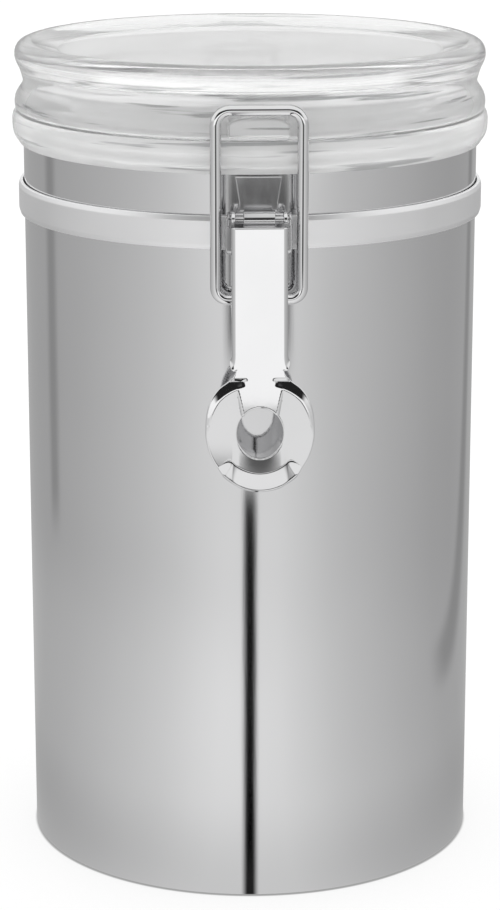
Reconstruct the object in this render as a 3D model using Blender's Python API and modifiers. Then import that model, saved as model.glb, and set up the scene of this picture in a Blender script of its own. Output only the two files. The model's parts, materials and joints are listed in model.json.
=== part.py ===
"""A stainless steel food canister with a clear clamp lid, in metres, standing on z = 0.

The can's axis is the Z axis. The latch is at the front, towards -Y, and the lid's hinge is at the
back. Most pieces are turned about the can's axis. The latch and hinge pieces are sheet steel,
drawn as outlines seen from the side or from the front, and round wire bent to a loop.
"""

import math

import bmesh
import bpy
from mathutils import Matrix, Vector

# Clearances and cutting
seat_gap = 0.0003
catch_gap = 0.0005
overrun = 0.0020
merge_distance = 0.00001

# Facets
round_steps = 64
small_round_steps = 20
corner_steps = 4
wire_corner_steps = 5
wire_resolution = 2
smooth_angle = math.radians(32)

# Steel can
can_radius = 0.0570
can_wall = 0.0006
can_height = 0.1826
can_foot_radius = 0.0016
base_bead_radius = 0.0465
base_bead_width = 0.0030
base_bead_height = 0.0008
base_bead_slope_share = 0.3

# Clear collar seated on the can's rim
collar_lip_depth = 0.0012
collar_lip_wall = 0.0006
collar_height = 0.0078
collar_bulge = 0.0027
collar_skirt_wall = 0.0015
collar_skirt_drop = 0.0054
collar_mouth_chamfer = 0.0006
# Each pair is the share of the way out from the lip to the bulge, and of the height
collar_side_shares = (
    (0.0, 0.0),
    (0.33, 0.115),
    (0.72, 0.256),
    (0.92, 0.41),
    (1.0, 0.615),
    (1.0, 0.744),
    (0.86, 0.91),
    (0.56, 1.0),
)

# Clear lid
lid_height = 0.0170
lid_foot_setback = 0.0007
lid_flange_setback = 0.00083
lid_neck_setback = 0.0028
lid_rim_round = 0.0027
lid_rim_width = 0.0016
lid_recess_edge = 0.0064
lid_recess_depth = 0.0023
lid_recess_slope = 0.0010
lid_plate = 0.0027
plug_wall = 0.0040
lid_hollow_corner = 0.0015
plug_clearance = 0.0016
plug_depth = 0.0045
groove_depth = 0.0012
groove_height = 0.0030
groove_drop = 0.0005
# Each pair is the share of the way out from the neck to the flange, and of the height
lid_foot_shares = (
    (0.62, 0.0),
    (0.905, 0.024),
    (1.0, 0.076),
    (1.0, 0.135),
    (0.88, 0.206),
    (0.62, 0.27),
    (0.286, 0.33),
    (0.05, 0.382),
)
lid_flange_shares = (
    (0.0, 0.424),
    (0.075, 0.47),
    (0.23, 0.535),
    (0.43, 0.606),
    (0.685, 0.67),
    (0.89, 0.724),
    (1.0, 0.788),
    (0.94, 0.865),
    (0.71, 0.924),
    (0.305, 0.97),
)

# Silicone gasket in the plug's groove
gasket_fin = 0.0006
gasket_web = 0.0003

# Steel band round the can
band_drop = 0.0098
band_width = 0.0080
band_thickness = 0.0011
band_edge_drop = 0.0003
band_edge_width = 0.0011
band_joint_gap = 0.0012

# Brackets on the band: a strip folded over the band's edges, with a rolled knuckle in front
bracket_half_width = 0.0078
bracket_corner_radius = 0.0020
bracket_waist_half_width = 0.0046
bracket_tongue_half_width = 0.0056
bracket_sheet = 0.0008
bracket_waist_rise = 0.0024
roll_half_width = 0.0037
roll_web = 0.0011

# Latch pivots
pivot_drop = 0.0001
pin_radius = 0.0010
pin_bore_radius = 0.0013
pin_head_radius = 0.0019
pin_head_height = 0.0006
latch_roll_radius = 0.0022
latch_clearance = 0.0004
lever_throw = 0.0191
over_centre = 0.0012
bar_inset = 0.0001

# Wire loops
wire_radius = 0.00135
wire_bore_radius = 0.00165
loop_half_width = 0.01015
bar_corner_radius = 0.0034
foot_corner_radius = 0.0028
bail_foot_end = 0.0046

# Catch lug on the lid
catch_half_width = 0.0070
catch_rise = 0.0056
catch_foot_rise = 0.0006
catch_setback = 0.0005
catch_crown_half_width = 0.0028
catch_shoulder_half_width = 0.0056
catch_shoulder_drop = 0.0015

# Lever, drawn from its pin outwards and down its own face, which leans out from the can
lever_lean = math.radians(4)
lever_half_width = 0.0066
lever_wall = 0.0011
lever_sheet = 0.0010
lever_corner_radius = 0.0013
lever_face_drop = 0.0015
lever_eye_radius = 0.0021
lever_foot_eye_radius = 0.00235
lever_flange_depth = 0.0022
lever_wall_slope = 0.0003
lever_flange_taper = 0.0040
lever_face_length = 0.0375
head_half_width = 0.01275
head_half_length = 0.0136
head_centre_drop = 0.0110
head_turn_in = math.radians(5)
head_straight = 0.0180
head_lip = 0.0080
lip_lean = math.radians(26)
bend_radius = 0.0100
lip_radius = 0.0080
finger_half_width = 0.00543
finger_half_length = 0.00615
tongue_fillet_rise = 0.0050
tongue_fillet_radius = 0.0040
head_steps = 36

# Lid hinge
hinge_rise = 0.0037
hinge_clearance = 0.00035
hinge_roll_radius = 0.0026
hinge_lug_radius = 0.0032
hinge_lug_half_width = 0.0058
hinge_root_share = 0.6
hinge_wire_foot_end = 0.0010

# Places worked out from the sizes above
collar_bottom = can_height - collar_lip_depth
collar_top = collar_bottom + collar_height
collar_radius = can_radius + collar_bulge
collar_lip_radius = can_radius + seat_gap + collar_lip_wall
collar_skirt_radius = can_radius - can_wall - seat_gap
collar_bore_radius = collar_skirt_radius - collar_skirt_wall
lid_foot_radius = collar_radius - lid_foot_setback
lid_flange_radius = collar_radius - lid_flange_setback
lid_neck_radius = collar_radius - lid_neck_setback
lid_rim_outer_radius = lid_flange_radius - lid_rim_round
lid_rim_inner_radius = lid_rim_outer_radius - lid_rim_width
lid_recess_radius = lid_rim_inner_radius - lid_recess_edge
lid_bottom = collar_top + seat_gap
lid_top = lid_bottom + lid_height
lid_recess_floor = lid_top - lid_recess_depth
plug_radius = collar_bore_radius - plug_clearance
lid_hollow_radius = plug_radius - plug_wall
plug_bottom = lid_bottom - plug_depth
groove_top = lid_bottom - groove_drop
groove_bottom = groove_top - groove_height
groove_radius = plug_radius - groove_depth
band_inner_radius = can_radius + seat_gap
band_outer_radius = band_inner_radius + band_thickness
band_top = collar_bottom - band_drop
band_height = band_top - band_width
band_middle = band_height + band_width / 2
bracket_inner = band_outer_radius + seat_gap
bracket_outer = bracket_inner + bracket_sheet
strip_reach = bracket_outer + latch_clearance + lever_eye_radius
leg_radius = collar_radius + latch_clearance + wire_radius
leg_reach = math.sqrt(leg_radius * leg_radius - loop_half_width * loop_half_width)
pivot_reach = max(strip_reach, leg_reach + over_centre)
pivot_height = band_top - pivot_drop
foot_reach = pivot_reach - over_centre
foot_height = pivot_height - lever_throw
catch_top = lid_bottom + catch_rise
bar_reach = pivot_reach - bar_inset
bar_height = catch_top + catch_gap + wire_radius
bail_length = math.hypot(bar_height - foot_height, bar_reach - foot_reach)
bail_lean = math.atan2(bar_reach - foot_reach, bar_height - foot_height)
lever_face_offset = latch_roll_radius + latch_clearance
lever_outer = lever_face_offset + lever_sheet
lever_bend = -lever_face_drop - lever_face_length
lever_foot_out = lever_throw * math.sin(-lever_lean) - over_centre * math.cos(lever_lean)
lever_foot_up = over_centre * math.sin(lever_lean) - lever_throw * math.cos(lever_lean)
hinge_height = lid_bottom + hinge_rise
hinge_reach = collar_radius + hinge_clearance + wire_radius
hinge_foot_reach = hinge_reach
hinge_lug_root = lid_neck_radius
hinge_foot_height = band_middle


def clear_scene():
    for old in list(bpy.data.objects):
        bpy.data.objects.remove(old)


def new_collection(name):
    collection = bpy.data.collections.new(name)
    bpy.context.scene.collection.children.link(collection)
    return collection


def new_material(name, colour, roughness, metallic, transmission=0.0):
    material = bpy.data.materials.new(name)
    material.use_nodes = True
    shader = material.node_tree.nodes["Principled BSDF"]
    shader.inputs["Base Color"].default_value = (*colour, 1.0)
    shader.inputs["Roughness"].default_value = roughness
    shader.inputs["Metallic"].default_value = metallic
    shader.inputs["Transmission Weight"].default_value = transmission
    return material


def new_object(name, mesh, collection):
    made = bpy.data.objects.new(name, mesh)
    collection.objects.link(made)
    return made


def evaluated_mesh(source):
    bpy.context.view_layer.update()
    graph = bpy.context.evaluated_depsgraph_get()
    return bpy.data.meshes.new_from_object(source.evaluated_get(graph))


def tidy_mesh(mesh):
    """Merges doubled points and turns every face outwards."""
    work = bmesh.new()
    work.from_mesh(mesh)
    bmesh.ops.remove_doubles(work, verts=work.verts, dist=merge_distance)
    bmesh.ops.recalc_face_normals(work, faces=work.faces)
    work.to_mesh(mesh)
    work.free()


def apply_modifiers(made):
    mesh = evaluated_mesh(made)
    made.modifiers.clear()
    made.data = mesh
    tidy_mesh(mesh)


def finish(made, material):
    """Gives a finished piece its material, and smooth shading that breaks at its edges."""
    made.data.shade_smooth()
    made.data.set_sharp_from_angle(angle=smooth_angle)
    made.data.materials.clear()
    made.data.materials.append(material)
    return made


def turned(name, section, collection, closed):
    """Turns a section of (radius, height) points about the Z axis."""
    edges = [(i, i + 1) for i in range(len(section) - 1)]
    if closed:
        edges.append((len(section) - 1, 0))
    mesh = bpy.data.meshes.new(name)
    mesh.from_pydata([(radius, 0.0, height) for radius, height in section], edges, [])
    made = new_object(name, mesh, collection)
    screw = made.modifiers.new("turn", "SCREW")
    screw.axis = "Z"
    screw.angle = math.tau
    screw.steps = round_steps
    screw.render_steps = round_steps
    screw.use_merge_vertices = True
    screw.merge_threshold = merge_distance
    apply_modifiers(made)
    return made


def rounded(corners, steps, closed=True):
    """Points along a line of (x, y, radius) corners, with an arc at each corner that has a radius."""
    points = []
    count = len(corners)
    for i, (x, y, radius) in enumerate(corners):
        corner = Vector((x, y))
        if radius == 0 or (not closed and i in (0, count - 1)):
            points.append((x, y))
            continue
        back = (Vector(corners[i - 1][:2]) - corner).normalized()
        ahead = (Vector(corners[(i + 1) % count][:2]) - corner).normalized()
        half = back.angle(ahead) / 2
        centre = corner + (back + ahead).normalized() * (radius / math.sin(half))
        start = corner + back * (radius / math.tan(half)) - centre
        turn = math.pi - 2 * half
        side = 1 if back.cross(ahead) < 0 else -1
        for step in range(steps + 1):
            bend = Matrix.Rotation(side * turn * step / steps, 2)
            points.append(tuple(centre + bend @ start))
    return points


def arc(centre_x, centre_y, radius_x, radius_y, start, end, steps):
    """Points on an ellipse between two angles in degrees, both ends included."""
    points = []
    for step in range(steps + 1):
        angle = math.radians(start + (end - start) * step / steps)
        points.append((centre_x + radius_x * math.cos(angle), centre_y + radius_y * math.sin(angle)))
    return points


def sheet(name, outlines, low, high, matrix, collection):
    """A flat outline in the matrix's XY plane, as thick as from low to high along its Z."""
    curve = bpy.data.curves.new(name, "CURVE")
    curve.dimensions = "2D"
    curve.fill_mode = "BOTH"
    curve.extrude = (high - low) / 2
    for outline in outlines:
        spline = curve.splines.new("POLY")
        spline.points.add(len(outline) - 1)
        for point, (x, y) in zip(spline.points, outline):
            point.co = (x, y, 0.0, 1.0)
        spline.use_cyclic_u = True
    drawn = new_object(name, curve, collection)
    drawn.matrix_world = matrix @ Matrix.Translation((0.0, 0.0, (low + high) / 2))
    mesh = evaluated_mesh(drawn)
    tidy_mesh(mesh)
    place = drawn.matrix_world.copy()
    bpy.data.objects.remove(drawn)
    made = new_object(name, mesh, collection)
    made.matrix_world = place
    return made


def rod(name, radius, low, high, reach, height, collection, steps=small_round_steps):
    """A round rod along X from low to high, at a reach in front of the can's axis."""
    work = bmesh.new()
    bmesh.ops.create_cone(
        work,
        cap_ends=True,
        segments=steps,
        radius1=radius,
        radius2=radius,
        depth=high - low,
        matrix=Matrix.Rotation(math.pi / 2, 4, "Y"),
    )
    mesh = bpy.data.meshes.new(name)
    work.to_mesh(mesh)
    work.free()
    made = new_object(name, mesh, collection)
    made.location = ((low + high) / 2, -reach, height)
    return made


def wire(name, path, matrix, collection):
    """Round wire along a path of points in the matrix's XY plane."""
    curve = bpy.data.curves.new(name, "CURVE")
    curve.dimensions = "3D"
    curve.bevel_depth = wire_radius
    curve.bevel_resolution = wire_resolution
    curve.use_fill_caps = True
    spline = curve.splines.new("POLY")
    spline.points.add(len(path) - 1)
    for point, (x, y) in zip(spline.points, path):
        point.co = (x, y, 0.0, 1.0)
    drawn = new_object(name, curve, collection)
    drawn.matrix_world = matrix
    mesh = evaluated_mesh(drawn)
    tidy_mesh(mesh)
    bpy.data.objects.remove(drawn)
    made = new_object(name, mesh, collection)
    made.matrix_world = matrix
    return made


def combine(made, tool, operation):
    """Joins, cuts or trims a piece with another solid, which then goes to the cutters."""
    step = made.modifiers.new(operation.lower(), "BOOLEAN")
    step.object = tool
    step.operation = operation
    step.solver = "EXACT"
    apply_modifiers(made)
    for owner in list(tool.users_collection):
        owner.objects.unlink(tool)
    cutters.objects.link(tool)
    tool.hide_render = True
    tool.display_type = "WIRE"


def pivot_empty(name, reach, height, parent=None):
    """An empty on a joint's axis, which carries the pieces that turn about it."""
    empty = bpy.data.objects.new(name, None)
    parts.objects.link(empty)
    empty.location = (0.0, -reach, height)
    bpy.context.view_layer.update()
    if parent:
        carry(empty, parent)
    return empty


def carry(piece, empty):
    """Parents a piece to an empty and leaves it where it is."""
    bpy.context.view_layer.update()
    place = piece.matrix_world.copy()
    piece.parent = empty
    piece.matrix_parent_inverse = empty.matrix_world.inverted()
    piece.matrix_world = place


# Planes for the outlines: seen from the side (outwards, up) and from the front (right, up)
side_view = Matrix(((0, 0, -1, 0), (-1, 0, 0, 0), (0, 1, 0, 0), (0, 0, 0, 1)))
front_view = Matrix(((1, 0, 0, 0), (0, 0, -1, 0), (0, 1, 0, 0), (0, 0, 0, 1)))
plan_view = Matrix(((1, 0, 0, 0), (0, -1, 0, 0), (0, 0, -1, 0), (0, 0, 0, 1)))
half_turn = Matrix(((-1, 0, 0, 0), (0, -1, 0, 0), (0, 0, 1, 0), (0, 0, 0, 1)))


def make_can():
    """The can: one thin wall with a small foot radius and a bead pressed up in its base."""
    foot = can_foot_radius
    inner_foot = foot - can_wall
    floor = can_wall
    wall = can_radius - can_wall
    bead_inner = base_bead_radius - base_bead_width / 2
    bead_outer = base_bead_radius + base_bead_width / 2
    slope = base_bead_width * base_bead_slope_share
    outer_corner = arc(can_radius - foot, foot, foot, foot, 0, -90, corner_steps)
    inner_corner = arc(can_radius - foot, foot, inner_foot, inner_foot, -90, 0, corner_steps)
    section = [(wall, can_height), (can_radius, can_height), *outer_corner]
    section += [
        (bead_outer, 0.0),
        (bead_outer - slope, base_bead_height),
        (bead_inner + slope, base_bead_height),
        (bead_inner, 0.0),
        (0.0, 0.0),
        (0.0, floor),
        (bead_inner - slope, floor),
        (bead_inner, base_bead_height + floor),
        (bead_outer, base_bead_height + floor),
        (bead_outer + slope, floor),
        *inner_corner,
    ]
    can = turned("can_body", section, parts, closed=True)
    return finish(can, steel)


def make_collar():
    """The clear collar: a bulged ring with a slot for the can's rim and a skirt inside the can."""
    side = [
        (collar_lip_radius + (collar_radius - collar_lip_radius) * out, collar_bottom + collar_height * up)
        for out, up in collar_side_shares
    ]
    slot_roof = can_height + seat_gap
    section = side[::-1]
    section += [
        (band_inner_radius, collar_bottom),
        (band_inner_radius, slot_roof),
        (collar_skirt_radius, slot_roof),
        (collar_skirt_radius, collar_bottom - collar_skirt_drop),
        (collar_bore_radius, collar_bottom - collar_skirt_drop),
        (collar_bore_radius, collar_top - collar_mouth_chamfer),
        (collar_bore_radius + collar_mouth_chamfer, collar_top),
    ]
    return finish(turned("collar_ring", section, parts, closed=True), clear_plastic)


def lid_section():
    """Half the lid's section: rim and recess on top, waisted side, plug and hollow below."""
    upper = [
        (lid_neck_radius + (lid_flange_radius - lid_neck_radius) * out, lid_bottom + lid_height * up)
        for out, up in lid_flange_shares
    ]
    lower = [
        (lid_neck_radius + (lid_foot_radius - lid_neck_radius) * out, lid_bottom + lid_height * up)
        for out, up in lid_foot_shares
    ]
    hollow_top = lid_recess_floor - lid_plate
    hollow_corner = arc(
        lid_hollow_radius - lid_hollow_corner,
        hollow_top - lid_hollow_corner,
        lid_hollow_corner,
        lid_hollow_corner,
        0,
        90,
        corner_steps,
    )
    return [
        (0.0, lid_recess_floor),
        (lid_recess_radius, lid_recess_floor),
        (lid_recess_radius + lid_recess_slope, lid_recess_floor + lid_recess_slope / 4),
        (lid_rim_inner_radius - lid_recess_slope, lid_top - lid_recess_slope / 4),
        (lid_rim_inner_radius, lid_top),
        (lid_rim_outer_radius, lid_top),
        *upper[::-1],
        *lower[::-1],
        (plug_radius, lid_bottom),
        (plug_radius, groove_top),
        (groove_radius, groove_top),
        (groove_radius, groove_bottom),
        (plug_radius, groove_bottom),
        (plug_radius, plug_bottom),
        (lid_hollow_radius, plug_bottom),
        *hollow_corner,
        (0.0, hollow_top),
    ]


def catch_outline():
    """The catch lug seen from the front: a low arch, flat where the bail's bar sits."""
    foot = lid_bottom + catch_foot_rise
    shoulder = catch_top - catch_shoulder_drop
    corners = (
        (-catch_half_width, foot, 0),
        (-catch_shoulder_half_width, shoulder, catch_shoulder_drop * 2),
        (-catch_crown_half_width, catch_top, catch_shoulder_drop * 2),
        (catch_crown_half_width, catch_top, catch_shoulder_drop * 2),
        (catch_shoulder_half_width, shoulder, catch_shoulder_drop * 2),
        (catch_half_width, foot, 0),
    )
    return rounded(corners, corner_steps)


def hinge_lug_outline():
    """The hinge lug seen from the side: a round eye on a root that runs into the lid's foot."""
    low = lid_bottom + catch_foot_rise
    eye = arc(hinge_reach, hinge_height, hinge_lug_radius, hinge_lug_radius, 90, -90, corner_steps * 3)
    root_top = hinge_height + hinge_lug_radius * hinge_root_share
    root_low = max(low, hinge_height - hinge_lug_radius)
    return [(hinge_lug_root, root_top), *eye, (hinge_lug_root, root_low)]


def make_lid(pivot):
    """The clear lid, with the catch lug in front and the hinge lug behind."""
    lid = turned("lid", lid_section(), parts, closed=False)
    catch_reach = bar_reach - catch_setback
    catch = sheet("catch_lug", [catch_outline()], plug_radius, catch_reach, front_view, parts)
    combine(lid, catch, "UNION")
    back_view = half_turn @ side_view
    lug = sheet(
        "hinge_lug",
        [hinge_lug_outline()],
        -hinge_lug_half_width,
        hinge_lug_half_width,
        back_view,
        parts,
    )
    combine(lid, lug, "UNION")
    bore_half = hinge_lug_half_width + overrun
    bore = rod("hinge_bore", wire_bore_radius, -bore_half, bore_half, -hinge_reach, hinge_height, parts)
    combine(lid, bore, "DIFFERENCE")
    finish(lid, clear_plastic)
    carry(lid, pivot)
    return lid


def make_gasket(pivot):
    """The silicone gasket: a ring in the plug's groove with two fins that reach the collar's bore."""
    low = groove_bottom + seat_gap
    high = groove_top - seat_gap
    inner = groove_radius + seat_gap
    web = plug_radius + gasket_web
    tip = collar_bore_radius - seat_gap
    section = [
        (inner, high),
        (tip, high),
        (tip, high - gasket_fin),
        (web, high - gasket_fin),
        (web, low + gasket_fin),
        (tip, low + gasket_fin),
        (tip, low),
        (inner, low),
    ]
    gasket = finish(turned("lid_gasket", section, parts, closed=True), silicone)
    carry(gasket, pivot)
    return gasket


def make_band():
    """The steel band: a crowned strip whose ends meet under the hinge bracket."""
    edge_radius = band_outer_radius - band_edge_drop
    section = [
        (edge_radius, band_top),
        (band_outer_radius, band_top - band_edge_width),
        (band_outer_radius, band_height + band_edge_width),
        (edge_radius, band_height),
        (band_inner_radius, band_height),
        (band_inner_radius, band_top),
    ]
    band = turned("clamp_band", section, parts, closed=True)
    half_gap = band_joint_gap / 2
    low = band_height - overrun
    high = band_top + overrun
    slot = [(-half_gap, low), (half_gap, low), (half_gap, high), (-half_gap, high)]
    reach = band_outer_radius + overrun
    cutter = sheet("band_joint", [slot], 0.0, reach, half_turn @ front_view, parts)
    combine(band, cutter, "DIFFERENCE")
    return finish(band, steel)


def strip_outline():
    """A bracket's strip seen from the side: up the can, over the band's top, down and under it."""
    over = band_top + seat_gap
    under = band_height - seat_gap
    tongue_top = collar_bottom - seat_gap
    inner = band_inner_radius
    corners = (
        (inner, tongue_top, 0),
        (inner, over, 0),
        (bracket_inner, over, 0),
        (bracket_inner, under, 0),
        (inner, under, 0),
        (inner, under - bracket_sheet, 0),
        (bracket_outer, under - bracket_sheet, bracket_sheet),
        (bracket_outer, over + bracket_sheet, bracket_sheet),
        (inner + bracket_sheet, over + bracket_sheet, 0),
        (inner + bracket_sheet, tongue_top, 0),
    )
    return rounded(corners, corner_steps)


def bracket_front_outline():
    """A bracket seen from the front: wide on the band, waisted just above it, flared at the top."""
    low = band_height - seat_gap - bracket_sheet
    fold = band_top + seat_gap + bracket_sheet
    wide = bracket_half_width
    right = [
        (wide, low, bracket_corner_radius),
        (wide, fold, bracket_corner_radius),
        (bracket_waist_half_width, fold, bracket_waist_rise / 2),
        (bracket_waist_half_width, fold + bracket_waist_rise, bracket_waist_rise),
        (bracket_tongue_half_width, collar_bottom + overrun, 0),
    ]
    left = [(-x, y, radius) for x, y, radius in right[::-1]]
    return rounded(right + left, corner_steps)


def make_bracket(name, view_turn, roll_reach, roll_height, roll_radius, bore_radius):
    """A bracket: a strip that follows the band, with a rolled knuckle joined to its front by a web."""
    bracket = turned(name, strip_outline(), parts, closed=True)
    trim_view = view_turn @ front_view
    front = bracket_front_outline()
    trim = sheet(name + "_trim", [front], 0.0, bracket_outer + overrun, trim_view, parts)
    combine(bracket, trim, "INTERSECT")
    ahead = -(view_turn @ Vector((0.0, -1.0, 0.0))).y
    half = roll_half_width
    roll = rod(name + "_roll", roll_radius, -half, half, ahead * roll_reach, roll_height, parts)
    web_top = roll_height + roll_radius - roll_web
    web_low = roll_height - roll_radius + roll_web
    middle = (bracket_inner + bracket_outer) / 2
    web = [(middle, web_low), (roll_reach, web_low), (roll_reach, web_top), (middle, web_top)]
    web_half = half - seat_gap
    web_sheet = sheet(name + "_web", [web], -web_half, web_half, view_turn @ side_view, parts)
    combine(roll, web_sheet, "UNION")
    combine(bracket, roll, "UNION")
    long = half + overrun
    bore = rod(name + "_bore", bore_radius, -long, long, ahead * roll_reach, roll_height, parts)
    combine(bracket, bore, "DIFFERENCE")
    return finish(bracket, steel)


def make_pin():
    """The lever's pin, with a low head outside each ear."""
    shank = lever_half_width + seat_gap
    tip = shank + pin_head_height
    overlap = pin_head_height / 2
    pin = rod("lever_pin", pin_radius, -tip + overlap, tip - overlap, pivot_reach, pivot_height, parts)
    for side, name in ((-1, "left"), (1, "right")):
        low, high = sorted((side * shank, side * tip))
        head = rod("pin_head_" + name, pin_head_radius, low, high, pivot_reach, pivot_height, parts)
        combine(pin, head, "UNION")
    return finish(pin, steel)


def bent_strip(corners, thickness):
    """A sheet seen from its edge: its outer side runs along the corners, top to bottom."""
    line = [Vector(point) for point in rounded(corners, corner_steps, closed=False)]
    back = []
    for i, point in enumerate(line):
        before = (point - line[max(i - 1, 0)]).normalized()
        after = (line[min(i + 1, len(line) - 1)] - point).normalized()
        along = (before + after).normalized()
        spread = max(along.dot(before or along), along.dot(after or along))
        back.append(point + Vector((along.y, -along.x)) * (thickness / spread))
    return [tuple(point) for point in line + back[::-1]]


def lever_face_outline():
    """The lever's face seen from the side: straight, bent upright at the head, curled out at the lip."""
    bend = Vector((lever_outer, lever_bend))
    lean = -head_turn_in
    lip = bend + Vector((math.sin(lean), -math.cos(lean))) * head_straight
    curl = lip_lean - lever_lean
    tip = lip + Vector((math.sin(curl), -math.cos(curl))) * (head_lip + overrun)
    corners = (
        (lever_outer, -lever_face_drop, 0),
        (*bend, bend_radius),
        (*lip, lip_radius),
        (*tip, 0),
    )
    return bent_strip(corners, lever_sheet)


def lever_ears_outline():
    """The lever's two walls seen from the side: an ear at the pin, one at the bail, then a low flange."""
    eye = arc(0.0, 0.0, lever_eye_radius, lever_eye_radius, 10, 185, corner_steps * 3)
    foot_radius = lever_foot_eye_radius
    foot_eye = arc(lever_foot_out, lever_foot_up, foot_radius, foot_radius, 175, 290, corner_steps * 2)
    plate_low = band_height - seat_gap - bracket_sheet - latch_clearance - pivot_height
    flange = lever_outer - lever_flange_depth
    flange_top = lever_foot_up - foot_radius - lever_flange_taper / 2
    flange_low = lever_bend + tongue_fillet_rise + lever_flange_taper
    return [
        (lever_outer, -lever_face_drop),
        (lever_eye_radius, -lever_face_drop),
        *eye,
        (-lever_eye_radius - lever_wall_slope, plate_low),
        *foot_eye,
        (flange, flange_top),
        (flange, flange_low),
        (lever_face_offset, flange_low - lever_flange_taper / 2),
        (lever_outer, flange_low - lever_flange_taper / 2),
    ]


def channel_outline():
    """The lever's channel seen along its length: a U with rounded outer corners, open to the can."""
    wide = lever_half_width
    thin = lever_wall
    back = lever_foot_out - lever_foot_eye_radius - overrun
    inner_radius = lever_corner_radius - lever_sheet
    corners = (
        (-wide, back, 0),
        (-wide + thin, back, 0),
        (-wide + thin, lever_face_offset, inner_radius),
        (wide - thin, lever_face_offset, inner_radius),
        (wide - thin, back, 0),
        (wide, back, 0),
        (wide, lever_outer, lever_corner_radius),
        (-wide, lever_outer, lever_corner_radius),
    )
    return rounded(corners, corner_steps)


def face_front_outline():
    """The lever's face seen from the front: a tongue that flares by two fillets into an oval head."""
    centre = lever_bend - head_centre_drop
    narrow = lever_half_width - lever_corner_radius
    join = math.degrees(math.acos(lever_half_width / head_half_width))
    head = arc(0.0, centre, head_half_width, head_half_length, join, -180 - join, head_steps)
    wide = lever_half_width
    flare = lever_bend + tongue_fillet_rise
    left = [
        (-wide, centre + head_half_length * math.sin(math.radians(join)), 0),
        (-wide, flare, tongue_fillet_radius),
        (-narrow, flare + lever_flange_taper, tongue_fillet_radius),
        (-narrow, -lever_face_drop, 0),
    ]
    right = [(-x, y, radius) for x, y, radius in left[::-1]]
    return head + rounded(left + right, corner_steps, closed=False)[1:-1]


def make_lever(pivot):
    """The lever: a bent face with an oval head and a finger hole, and a channel with two pairs of ears."""
    place = Matrix.Translation((0.0, -pivot_reach, pivot_height)) @ Matrix.Rotation(-lever_lean, 4, "X")
    half = head_half_width + overrun
    lever = sheet("lever", [lever_face_outline()], -half, half, place @ side_view, parts)
    centre = lever_bend - head_centre_drop
    last = 360 - 360 / head_steps
    hole = arc(0.0, centre, finger_half_width, finger_half_length, 0, last, head_steps - 1)
    far = lever_outer + head_lip
    front = sheet("lever_front", [face_front_outline(), hole], 0.0, far, place @ front_view, parts)
    combine(lever, front, "INTERSECT")

    # The channel is drawn in plan, so its thickness runs down from the top
    top = lever_eye_radius + overrun
    channel = sheet("lever_channel", [channel_outline()], -top, -lever_bend, place @ plan_view, parts)
    side_half = lever_half_width + overrun
    ears = sheet("lever_ears", [lever_ears_outline()], -side_half, side_half, place @ side_view, parts)
    combine(channel, ears, "INTERSECT")
    combine(lever, channel, "UNION")
    for name, radius, reach, height in (
        ("lever_pin_bore", pin_bore_radius, pivot_reach, pivot_height),
        ("lever_bail_bore", wire_bore_radius, foot_reach, foot_height),
    ):
        bore = rod(name, radius, -side_half, side_half, reach, height, parts)
        combine(lever, bore, "DIFFERENCE")
    finish(lever, polished)
    carry(lever, pivot)
    return lever


def loop_path(length, foot_end):
    """A loop in its own plane: a foot turned in at each end, two legs and a bar across the top."""
    wide = loop_half_width
    corners = (
        (-foot_end, 0.0, 0),
        (-wide, 0.0, foot_corner_radius),
        (-wide, length, bar_corner_radius),
        (wide, length, bar_corner_radius),
        (wide, 0.0, foot_corner_radius),
        (foot_end, 0.0, 0),
    )
    return rounded(corners, wire_corner_steps, closed=False)


def make_bail(pivot):
    """The bail: a wire loop that hangs on the lever and hooks over the lid's catch lug."""
    place = (
        Matrix.Translation((0.0, -foot_reach, foot_height))
        @ Matrix.Rotation(bail_lean, 4, "X")
        @ front_view
    )
    bail = wire("bail", loop_path(bail_length, bail_foot_end), place, parts)
    finish(bail, polished)
    carry(bail, pivot)
    return bail


def make_hinge_wire():
    """The hinge wire: a loop from the hinge bracket up through the lid's hinge lug."""
    place = half_turn @ Matrix.Translation((0.0, -hinge_foot_reach, hinge_foot_height)) @ front_view
    path = loop_path(hinge_height - hinge_foot_height, hinge_wire_foot_end)
    return finish(wire("hinge_wire", path, place, parts), polished)


clear_scene()
parts = new_collection("steel_canister")
cutters = new_collection("cutters")
cutters.hide_render = True
steel = new_material("polished_steel", (0.62, 0.62, 0.63), 0.16, 1.0)
polished = new_material("chromed_wire", (0.72, 0.72, 0.73), 0.08, 1.0)
clear_plastic = new_material("clear_acrylic", (0.93, 0.94, 0.94), 0.05, 0.0, 0.9)
silicone = new_material("clear_silicone", (0.80, 0.81, 0.81), 0.35, 0.0, 0.4)

lid_pivot = pivot_empty("lid_pivot", -hinge_reach, hinge_height)
lever_pivot = pivot_empty("lever_pivot", pivot_reach, pivot_height)
bail_pivot = pivot_empty("bail_pivot", foot_reach, foot_height, lever_pivot)

make_can()
make_collar()
make_lid(lid_pivot)
make_gasket(lid_pivot)
make_band()
make_bracket(
    "latch_bracket", Matrix.Identity(4), pivot_reach, pivot_height, latch_roll_radius, pin_bore_radius
)
make_bracket(
    "hinge_bracket", half_turn, hinge_foot_reach, hinge_foot_height, hinge_roll_radius, wire_bore_radius
)
make_pin()
make_lever(lever_pivot)
make_bail(bail_pivot)
make_hinge_wire()
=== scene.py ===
import json
import math

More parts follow.
